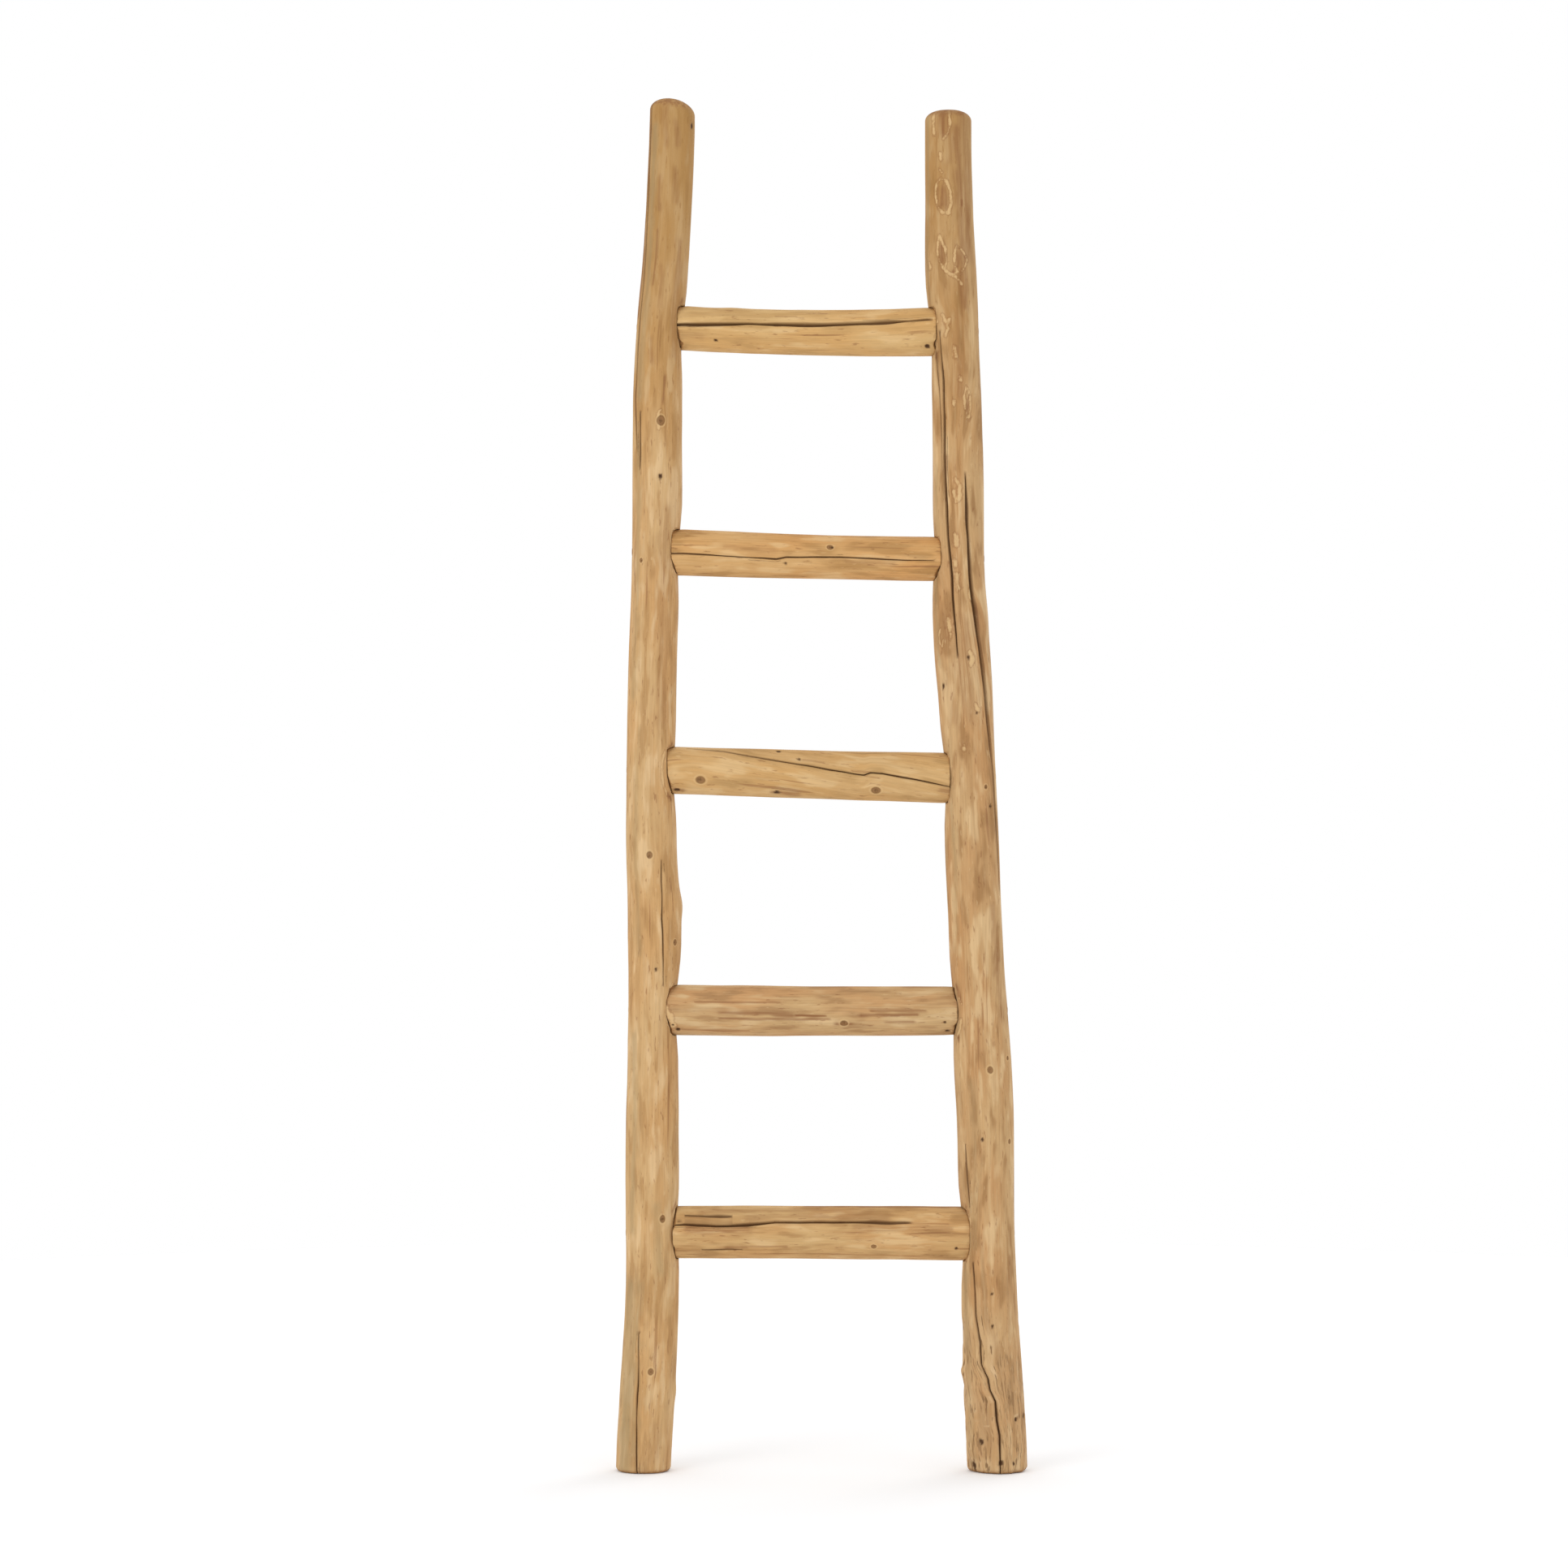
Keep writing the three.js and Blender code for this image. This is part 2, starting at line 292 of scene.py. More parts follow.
def follow_checks(angle, along, checks, radius, seed):
    """Moves columns so that one runs down the middle of each check, with two close on each side.

    Returns the new angles, and for each check its depth and its darkness over the grid, which is painted
    shade in the check over the brown of its walls.
    """
    columns = angle.shape[1]
    step = FULL_TURN / columns
    height = along.mean(axis=1)
    tracks = []
    for number, (path, width, depth) in enumerate(checks):
        middle = (min(path)[0] + max(path)[0]) / 2 * MM
        home = int(round(path_angle(path, middle) / step)) % columns
        wander = grain_noise(seed + number, height, 0 * height, 22 * MM, 3) * 0.4 * MM / radius
        target = path_angle(path, height) + wander
        held = path_reach(path, height)
        drift = held * wrap(target - angle[:, home])
        reach = max(8, 2.2 * np.abs(drift).max() / step)
        offset = (np.arange(columns) - home + columns // 2) % columns - columns // 2
        fade = np.cos(np.clip(np.abs(offset) / reach, 0, 1) * math.pi / 2) ** 2
        pull = smoothstep(0, 0.15, held)
        tracks.append((home, offset, angle[:, home] + drift, pull, fade))
    angle = angle.copy()
    for _ in range(SOLVER_ROUNDS):
        for home, offset, target, pull, fade in tracks:
            angle += np.outer(pull * wrap(target - angle[:, home]), fade)
    grooves = []
    for number, (path, width, depth) in enumerate(checks):
        home, offset = tracks[number][:2]
        near = np.abs(offset)
        present = path_presence(path, along)
        swell = 1 + 0.45 * grain_noise(seed + 60 + number, along, 0 * along, 32 * MM, 3)
        half = width / 2 * MM * (0.3 + 0.7 * present) * swell / radius
        lip = 1.15 * half
        beyond = lip + (near - 2) * (COLUMNS_SQUEEZED * step - lip) / (COLUMNS_SQUEEZED - 2)
        spread = np.where(near <= 1, near * 0.75 * half, np.where(near <= 2, lip, beyond))
        own = wrap(angle - angle[:, home][:, None])
        opened = smoothstep(0, 0.35, present)
        angle = angle + opened * (np.sign(offset) * spread - own) * (near < COLUMNS_SQUEEZED)
        profile = np.select([near == 0, near == 1], [1.0, 0.6], 0.0)
        shade = np.select([near == 0, near == 1, near == 2], [1.0, 0.85, 0.3], 0.0)
        grooves.append((depth * MM * present * profile, opened * shade))
    return angle, grooves


class Marks:
    """What each grid point of a piece carries: a change of radius, and amounts that colour it."""

    def __init__(self, timber, angle, along, marks, seed):
        self.along = along
        self.grain_angle = angle.copy()
        mean_radius = float(timber.radius(along, angle).mean())
        checks = marks.get("checks", [])
        self.angle, grooves = follow_checks(angle, along, checks, mean_radius, seed)
        self.radius = timber.radius(along, self.angle)
        self.lift = np.zeros(angle.shape)
        self.amount = {name: np.zeros(angle.shape) for name in AMOUNTS}
        for number, (height, cell, cells_around) in enumerate(RELIEF):
            self.lift += height * MM * self.noise(seed + 11 + number, cell, cells_around)
        for mark in marks.get("knots", []):
            self.add_knot(*mark)
        for mark in marks.get("pits", []):
            self.add_pit(*mark)
        for place, degrees, size, height in marks.get("bumps", []):
            self.lift += height * MM * np.exp(-self.spot(place, degrees, size)[0] ** 2)
        for mark in marks.get("scars", []):
            self.add_scar(*mark)
        for mark in marks.get("stains_and_shades", []):
            self.add_smear("stain_and_shade", *mark, seed + 31)
        for mark in marks.get("greys", []):
            self.add_smear("grey", *mark, seed + 33)
        for mark in marks.get("worn", []):
            self.add_wear(*mark, seed)
        for groove, dark in grooves:
            self.lift -= groove
            self.cover("crack", dark)

    def noise(self, seed, cell, cells_around, angle=None):
        """Grain noise over the grid. cell is in millimetres."""
        around = self.angle if angle is None else angle
        return grain_noise(seed, self.along, around, cell * MM, cells_around)

    def cover(self, name, amount):
        self.amount[name] = np.maximum(self.amount[name], amount)

    def spot(self, place, degrees, size):
        """Distance from a spot's middle in spot radii, and the offset round the piece."""
        across = wrap(self.angle - math.radians(degrees)) * self.radius
        up = (self.along - place * MM) / KNOT_STRETCH
        return np.hypot(across, up) / (size * MM), across

    def stroke(self, path):
        """Distance over the surface from a line through (millimetres along, degrees) points."""
        nearest = np.full(self.angle.shape, 1.0)
        for (s0, a0), (s1, a1) in zip(path, path[1:]):
            across = wrap(self.angle - math.radians(a0)) * self.radius
            up = self.along - s0 * MM
            run = math.radians(a1 - a0) * self.radius
            rise = (s1 - s0) * MM
            share = np.clip((across * run + up * rise) / (run ** 2 + rise ** 2), 0, 1)
            nearest = np.minimum(nearest, np.hypot(across - share * run, up - share * rise))
        return nearest

    def part_grain(self, distance, across):
        """Leads the grain round a knot or pit."""
        self.grain_angle -= across / self.radius * 0.8 / (distance ** 2 + 0.8)

    def add_knot(self, place, degrees, size):
        distance, across = self.spot(place, degrees, size)
        self.lift += 0.55 * MM * np.exp(-((distance - 1.25) / 0.5) ** 2)
        self.lift -= 0.35 * MM * np.exp(-(distance / 0.8) ** 2)
        self.cover("knot", np.clip(1 - distance / 2, 0, 1))
        self.part_grain(distance, across)

    def add_pit(self, place, degrees, size):
        distance, across = self.spot(place, degrees, size)
        ragged = 1 + 0.35 * self.noise(1000 + int(place), 3, 70)
        depth = np.exp(-(distance * ragged) ** 2)
        self.lift -= 1.6 * MM * depth
        self.cover("pit", smoothstep(0.25, 0.7, depth))
        self.part_grain(distance, across)

    def add_smear(self, name, path, width, strength, seed):
        """A soft ragged streak along a path."""
        ragged = 1 + 0.6 * self.noise(seed, 14, 60)
        self.cover(name, strength * np.exp(-(self.stroke(path) / (width * MM * ragged)) ** 2))

    def add_scar(self, path, width):
        """A line of pale torn wood. Its field falls evenly from 1 to 0 over four widths each side."""
        distance = self.stroke(path) / (width * MM)
        self.lift += 0.35 * MM * smoothstep(1.2, 0.3, distance)
        self.lift -= 0.25 * MM * np.exp(-((distance - 1.9) / 0.6) ** 2)
        self.cover("scar", np.clip(1 - distance / 4, 0, 1))

    def add_wear(self, place, height, strength, seed):
        """Long weathered grooves and small pits below a height."""
        edge = place * MM + 20 * MM * self.noise(seed + 51, 60, 12)
        amount = strength * smoothstep(edge + height * MM, edge, self.along)
        long_grooves = self.noise(seed + 52, 42, 30, self.grain_angle)
        short_grooves = self.noise(seed + 53, 15, 54, self.grain_angle)
        pits = self.noise(seed + 54, 6, 62, self.grain_angle)
        eaten = 1.9 * smoothstep(0.05, 0.75, long_grooves) + 0.9 * smoothstep(0.1, 0.8, short_grooves)
        self.lift -= amount * MM * (eaten + 0.5 * smoothstep(0.45, 0.9, pits))
        hollow = smoothstep(0.35, 0.8, long_grooves) + smoothstep(0.55, 0.95, pits)
        self.cover("worn", amount * np.clip(0.35 + 0.65 * hollow, 0, 1))

    def wear_end(self, gap, strength, seed):
        """The softened rim of a rung's end, at a distance gap from it, with torn fibres beside it and
        painted shade next to the pole.
        """
        back, drop = np.array(EDGE_ROUNDING).T * MM
        torn = self.noise(seed + 81, 6, 44)
        self.lift -= strength * (np.interp(gap, back, drop) + 0.4 * MM * smoothstep(14 * MM, 0, gap))
        fibres = smoothstep(6 * MM, 1 * MM, gap) * smoothstep(-0.2, 0.9, torn)
        self.cover("scar", 0.72 * fibres)
        # Painted shade on the rung close to the pole it goes into, made ragged by the torn noise.
        painted_end_shade = smoothstep(9 * MM, 0, gap) * smoothstep(0.1, -0.6, torn)
        self.cover("stain_and_shade", 0.4 * strength * painted_end_shade)

    def final_radius(self):
        return self.radius + self.lift

    def layers(self, offset):
        """The attributes of the grid, each three numbers a point.

        grain is where a point lies in the uncut wood. The first part of end, how much a point is end
        grain, is filled in by the piece that has ends.
        """
        across = self.radius * np.cos(self.grain_angle)
        deep = self.radius * np.sin(self.grain_angle)
        crack, knot, pit, scar, worn, stain_and_shade, grey = self.amount.values()
        parts = {
            "grain": [across, deep, self.along + offset],
            "marks": [crack, knot, pit],
            "aging_and_shade": [scar, worn, stain_and_shade],
            "end": [0 * grey, grey, 0 * grey],
        }
        return {name: np.stack(values, axis=-1) for name, values in parts.items()}


# ---------------------------------------------------------------- grids into meshes

# The corners of a quad as steps along the rows and round the columns.
QUAD_CORNERS = [(0, 0), (0, 1), (1, 1), (1, 0)]
UV_MARGIN = 0.008
# The cut faces of the joints share the right edge of the unwrapping with the cutters.
WOOD_UV_WIDTH = 0.965
CUTTER_UV_BOX = (0.972, 0.0, 0.028, 1.0)


def add_vectors(mesh, name, values):
    mesh.attributes.new(name, "FLOAT_VECTOR", "POINT").data.foreach_set("vector", values.ravel())


def spaced_rows(low, high, count, places):
    """Places from low to high for a grid's rows, closer together round the given places."""
    fine = np.linspace(low, high, 4000)
    density = np.ones(fine.shape)
    for place, reach, gain in places:
        density += gain * np.exp(-((fine - place) / reach) ** 2)
    total = np.cumsum(density)
    total = (total - total[0]) / (total[-1] - total[0])
    return np.interp(np.linspace(0, 1, count), total, fine)


def grid_object(name, points, layers, strips, flip, uv_width):
    """A closed skin over rows of points, with a fan on its first and last row.

    layers maps an attribute's name to one vector a point. The skin is unrolled into strips side by
    side over uv_width of the unit square, so that a baked picture has about the same scale each way.
    """
    rows, columns = points.shape[:2]
    count = rows * columns
    ends = [points[0].mean(axis=0), points[-1].mean(axis=0)]
    vertices = np.vstack([points.reshape(-1, 3), *ends])
    row, column = np.meshgrid(np.arange(rows - 1), np.arange(columns), indexing="ij")
    corners = [(row + up) * columns + (column + on) % columns for up, on in QUAD_CORNERS]
    ring = np.arange(columns)
    next_ring = (ring + 1) % columns
    top = count - columns
    faces = [
        np.stack([c.ravel() for c in corners], axis=1),
        np.stack([next_ring, ring, np.full(columns, count)], axis=1),
        np.stack([top + ring, top + next_ring, np.full(columns, count + 1)], axis=1),
    ]
    steps = np.linalg.norm(np.diff(points, axis=0), axis=2).mean(axis=1)
    run = np.concatenate([[0], np.cumsum(steps)])
    share = run / run[-1] * strips
    strip = np.minimum(np.floor((share[:-1] + share[1:]) / 2), strips - 1)[row]

    def place(column_share, along_share, strip_number):
        u = (strip_number + UV_MARGIN + column_share * (1 - 2 * UV_MARGIN)) / strips
        v = np.clip(UV_MARGIN + (along_share - strip_number) * (1 - 2 * UV_MARGIN), 0, 1)
        return np.stack(np.broadcast_arrays(u * uv_width, v), axis=-1)

    quad_uv = [place((column + on) / columns, share[row + up], strip) for up, on in QUAD_CORNERS]
    fan = np.stack([ring + 1, ring, ring + 0.5], axis=1) / columns
    face_uv = [
        np.stack([uv.reshape(-1, 2) for uv in quad_uv], axis=1),
        place(fan, 0.0, 0),
        place(fan[:, [1, 0, 2]], float(strips), strips - 1),
    ]
    if flip:
        faces = [part[:, ::-1] for part in faces]
        face_uv = [part[:, ::-1] for part in face_uv]
    mesh = bpy.data.meshes.new(name)
    mesh.from_pydata(vertices.tolist(), [], [face for part in faces for face in part.tolist()])
    uv_layer = mesh.uv_layers.new(name="OFBake")
    uv_layer.data.foreach_set("uv", np.concatenate([part.ravel() for part in face_uv]))
    for layer, values in layers.items():
        flat = values.reshape(-1, 3)
        middles = [flat[:columns].mean(axis=0), flat[-columns:].mean(axis=0)]
        add_vectors(mesh, layer, np.vstack([flat, *middles]))
    mesh.shade_smooth()
    piece = bpy.data.objects.new(name, mesh)
    bpy.context.collection.objects.link(piece)
    return piece


def squeeze_uv(piece, uv_box):
    """Moves a piece's whole unwrapping into uv_box: left, bottom, width and height."""
    layer = piece.data.uv_layers[0].data
    uvs = np.empty(len(layer) * 2)
    layer.foreach_get("uv", uvs)
    left, bottom, width, height = uv_box
    layer.foreach_set("uv", (uvs.reshape(-1, 2) * [width, height] + [left, bottom]).ravel())


def circle(x, centre, radius, angle):
    """A ring of points round a line along X. x and radius are one number, or one a point."""
    x = x + np.zeros(angle.shape)
    return np.stack([x, centre[1] - radius * np.cos(angle), centre[2] + radius * np.sin(angle)], axis=1)


def lathe_along_x(name, profile, centre, direction, sides, uv_box):
    """A closed turned body round X. profile is [distance along, radius] from centre."""
    turns = FULL_TURN * np.arange(sides) / sides
    rings = [circle(centre[0] + direction * along, centre, radius, turns) for along, radius in profile]
    piece = grid_object(name, np.array(rings), {}, 1, direction > 0, 1.0)
    squeeze_uv(piece, uv_box)
    return piece


def cut(piece, cutters):
    """Takes the cutters out of a piece, one closed body from another."""
    for cutter in cutters:
        modifier = piece.modifiers.new("cut", "BOOLEAN")
        modifier.operation = "DIFFERENCE"
        modifier.solver = "MANIFOLD"
        modifier.object = cutter
    bpy.context.view_layer.update()
    graph = bpy.context.evaluated_depsgraph_get()
    result = bpy.data.meshes.new_from_object(
        piece.evaluated_get(graph), preserve_all_data_layers=True, depsgraph=graph)
    piece.modifiers.clear()
    old = piece.data
    piece.data = result
    bpy.data.meshes.remove(old)
    result.name = piece.name
    for cutter in cutters:
        bpy.data.objects.remove(cutter)


# ---------------------------------------------------------------- the joints

SEAT_CLEARANCE = 0.15 * MM
SEAT_FORWARD = 12 * MM
BORE_PAST_FACE = 20 * MM
SCREW_HEAD_LENGTH = 4.5 * MM
SCREW_HEAD_RADIUS = 4.5 * MM
SCREW_TIP = 7 * MM
SHOULDER_SHARES = (0.08, 0.36, 0.68, 1.0)

# The tenon's rings after its root: millimetres back from its tip, and share of its radius.
TENON_RINGS = [(6.0, 1.0), (1.4, 1.0), (0.0, 0.92), (0.0, 0.4)]


class Joint:
    """Where a rung's end, its tenon, its screw and its plug lie in a pole, read from the frame."""

    def __init__(self, side, number):
        self.out = -1 if side == "left" else 1
        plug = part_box(f"plug_{side}_{number}")
        self.y = (plug[0].y + plug[1].y) / 2
        self.z = (plug[0].z + plug[1].z) / 2
        self.plug_in, self.plug_out = self.ends(plug)
        self.screw_tip, self.screw_head = self.ends(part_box(f"screw_{side}_{number}"))
        self.tenon_tip = self.ends(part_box(f"rung_{number}"))[1]

    def ends(self, box):
        """The X of a box's inner and outer end, seen from the middle of the ladder."""
        low, high = box
        return (high.x, low.x) if self.out < 0 else (low.x, high.x)

    def circle(self, angle, radius, x):
        """A ring of points round the tenon's axis. x is one number or one a point."""
        return circle(x, (0, self.y, self.z), radius, angle)

    def find_inner_face(self, skin):
        """The X at which the pole's inner face crosses the rung's axis."""
        start = Vector((self.tenon_tip - self.out * 0.1, self.y, self.z))
        self.inner_face = skin.ray_cast(start, Vector((self.out, 0, 0)))[0].x

    def shoulder(self, angle, rim, root_x, radius):
        root = self.circle(angle, radius, root_x)
        return [rim + (root - rim) * share for share in SHOULDER_SHARES]

    def tenon(self, angle):
        """The rings of the tenon, after its root, to the softened edge of its tip."""
        return [self.circle(angle, TENON_RADIUS * share, self.tenon_tip - self.out * back * MM)
                for back, share in TENON_RINGS]

    def bores(self, angle):
        """The rings of the cut beyond the tenon: mortise floor, screw hole and plug bore."""
        floor = self.tenon_tip + self.out * FIT_GAP
        head = self.plug_in - self.out * FIT_GAP
        outside = self.plug_out + self.out * BORE_PAST_FACE
        shapes = [
            (TENON_RADIUS + FIT_GAP, floor),
            (SCREW_RADIUS + FIT_GAP, floor),
            (SCREW_RADIUS + FIT_GAP, head - self.out * (SCREW_HEAD_LENGTH + 0.5 * MM)),
            (SCREW_HEAD_RADIUS + FIT_GAP, head),
            (PLUG_RADIUS + FIT_GAP, head),
            (PLUG_RADIUS + FIT_GAP, outside),
            (0.5 * PLUG_RADIUS, outside),
        ]
        return [self.circle(angle, radius, x) for radius, x in shapes]

    def pilot(self, name):
        """The pilot hole for the screw in the tenon."""
        radius = SCREW_RADIUS + FIT_GAP
        start = self.tenon_tip + self.out * 5 * MM
        length = abs(start - self.screw_tip) + FIT_GAP
        profile = [(0, 0.5 * radius), (0, radius), (length - SCREW_TIP, radius), (length, 0.4 * MM)]
        return lathe_along_x(name, profile, (start, self.y, self.z), -self.out, 24, CUTTER_UV_BOX)

    def seat(self, name, angle, body, root_x):
        """What a rung's end takes out of a pole. body is the rung's last rings, outwards.

        The cut is open to the front, so that the whole rim of the rung's end shows there.
        """
        forward = FRONT * SEAT_FORWARD * smoothstep(-0.1, 0.15, np.cos(angle))[:, None]
        radial = np.stack([0 * angle, -np.cos(angle), np.sin(angle)], axis=1)
        rings = [ring + radial * SEAT_CLEARANCE + forward for ring in body]
        rings[-1] = rings[-1] + X_AXIS * self.out * SEAT_CLEARANCE
        root_x = root_x + self.out * SEAT_CLEARANCE
        rings += self.shoulder(angle, rings[-1], root_x, TENON_RADIUS + FIT_GAP)
        rings += self.bores(angle)
        cutter = grid_object(name, np.array(rings), {}, 1, self.out > 0, 1.0)
        squeeze_uv(cutter, CUTTER_UV_BOX)
        return cutter


# ---------------------------------------------------------------- poles

# How far the grain of one piece lies from that of the next, for each step of their seeds.
GRAIN_OFFSET = 0.37

POLE_COLUMNS = 176
POLE_ROWS = 500
FOOT_RINGS = [(0, 0.45), (0, 0.78), (0, 0.88), (0.5, 0.92), (1.8, 0.96), (3.6, 0.988)]
FOOT_EDGE = 5 * MM
DOME_RINGS = 12
DOME_TIP_SHARE = 0.12
POLE_LOWEST_SHARE = 0.88
SCARRED_ROWS = (1560 * MM, 130 * MM, 0.9)

LEFT_POLE = {
    "dome": 18 * MM,
    "dome_fullness": 1.0,
    "shoulder_tilt": -4 * MM,
    "foot_detail": 0.5,
    "checks": [
        ([(1694, -68), (1600, -68), (1470, -60), (1400, -60), (1330, -63), (1262, -55)], 3.2, 6),
        ([(1312, -45), (1280, -43), (1240, -44)], 2.0, 3.5),
        ([(757, 25), (684, 18), (602, 24)], 1.2, 3),
        ([(176, -26), (112, -20), (52, -17), (-8, -12)], 1.4, 4),
        ([(1520, 148), (1390, 160), (1210, 155), (1080, 166)], 2.0, 6),
        ([(905, -142), (730, -128), (560, -136), (430, -131)], 1.8, 5),
        ([(330, 128), (200, 138), (60, 131)], 1.6, 5),
        ([(1010, 96), (925, 90)], 1.0, 2.5),
    ],
    "knots": [
        (1299, 10, 4.2), (763, -4, 3.8), (314, 25, 3.6), (126, 6, 3.4), (655, 51, 2.6), (1127, -35, 2.2),
        (1412, 138, 6), (985, -152, 5), (520, 118, 5.5), (236, -160, 5), (1180, 112, 4),
    ],
    "pits": [(1230, 10, 3.0), (622, 6, 2.2), (1668, 64, 3.4), (860, 172, 3)],
    "bumps": [(701, 86, 12, 2.4), (1412, 138, 18, 1.5), (98, 86, 10, 1.4)],
    "stains_and_shades": [
        # The first streak is painted shade: the shadowed outer side of the pole, from its top down.
        ([(1692, -78), (1600, -77), (1500, -74), (1430, -76)], 4.0, 1.0),
        ([(1536, -27), (1500, -25), (1466, -27)], 1.1, 0.6),
        ([(1355, 18), (1322, 16)], 2.0, 0.75),
        ([(1449, 60), (1443, 56)], 2.5, 0.8),
        ([(900, 62), (896, 52), (884, 42)], 2.0, 0.85),
        ([(838, 48), (832, 58)], 3.0, 0.95),
        ([(606, 62), (600, 54)], 2.0, 0.8),
        ([(330, 62), (322, 52)], 2.5, 0.7),
        ([(1690, -20), (1640, -12)], 5.0, 0.35),
        ([(1668, 10), (1640, 16)], 4.0, 0.4),
        ([(1600, -30), (1560, -24)], 3.0, 0.45),
        ([(1610, 12), (1570, 18)], 3.5, 0.4),
        ([(1520, 38), (1380, 44)], 6.0, 0.4),
        ([(1490, -8), (1440, -2)], 3.5, 0.35),
        ([(1400, -20), (1372, -14)], 3.0, 0.4),
        ([(1190, 24), (1110, 22), (1010, 28), (930, 26)], 9.0, 0.35),
        ([(60, 24), (20, 30)], 6.0, 0.25),
    ],
    "scars": [
        ([(892, 38), (878, 30), (864, 30), (848, 36), (836, 46)], 1.4),
        ([(604, 50), (598, 44), (590, 46), (584, 38)], 1.3),
        ([(580, 40), (566, 34), (556, 40)], 1.3),
        ([(560, 42), (548, 46), (542, 56)], 1.6),
        ([(1120, 44), (1108, 50)], 1.2),
        ([(1290, 6), (1308, 4), (1312, 10)], 1.5),
    ],
    "greys": [
        ([(1660, -48), (1560, -50), (1440, -40), (1330, -46)], 5.0, 0.6),
        ([(1270, -50), (1120, -46), (960, -52)], 5.0, 0.5),
        ([(920, -30), (760, -38), (640, -34)], 4.0, 0.35),
        ([(540, -48), (420, -40), (300, -50)], 6.0, 0.5),
        ([(330, 12), (250, 20)], 6.0, 0.4),
        ([(230, -50), (100, -46), (6, -42)], 13.0, 0.8),
        ([(1480, 150), (1200, 160), (900, 140)], 9.0, 0.5),
    ],
    "worn": [(26, 60, 0.28)],
}
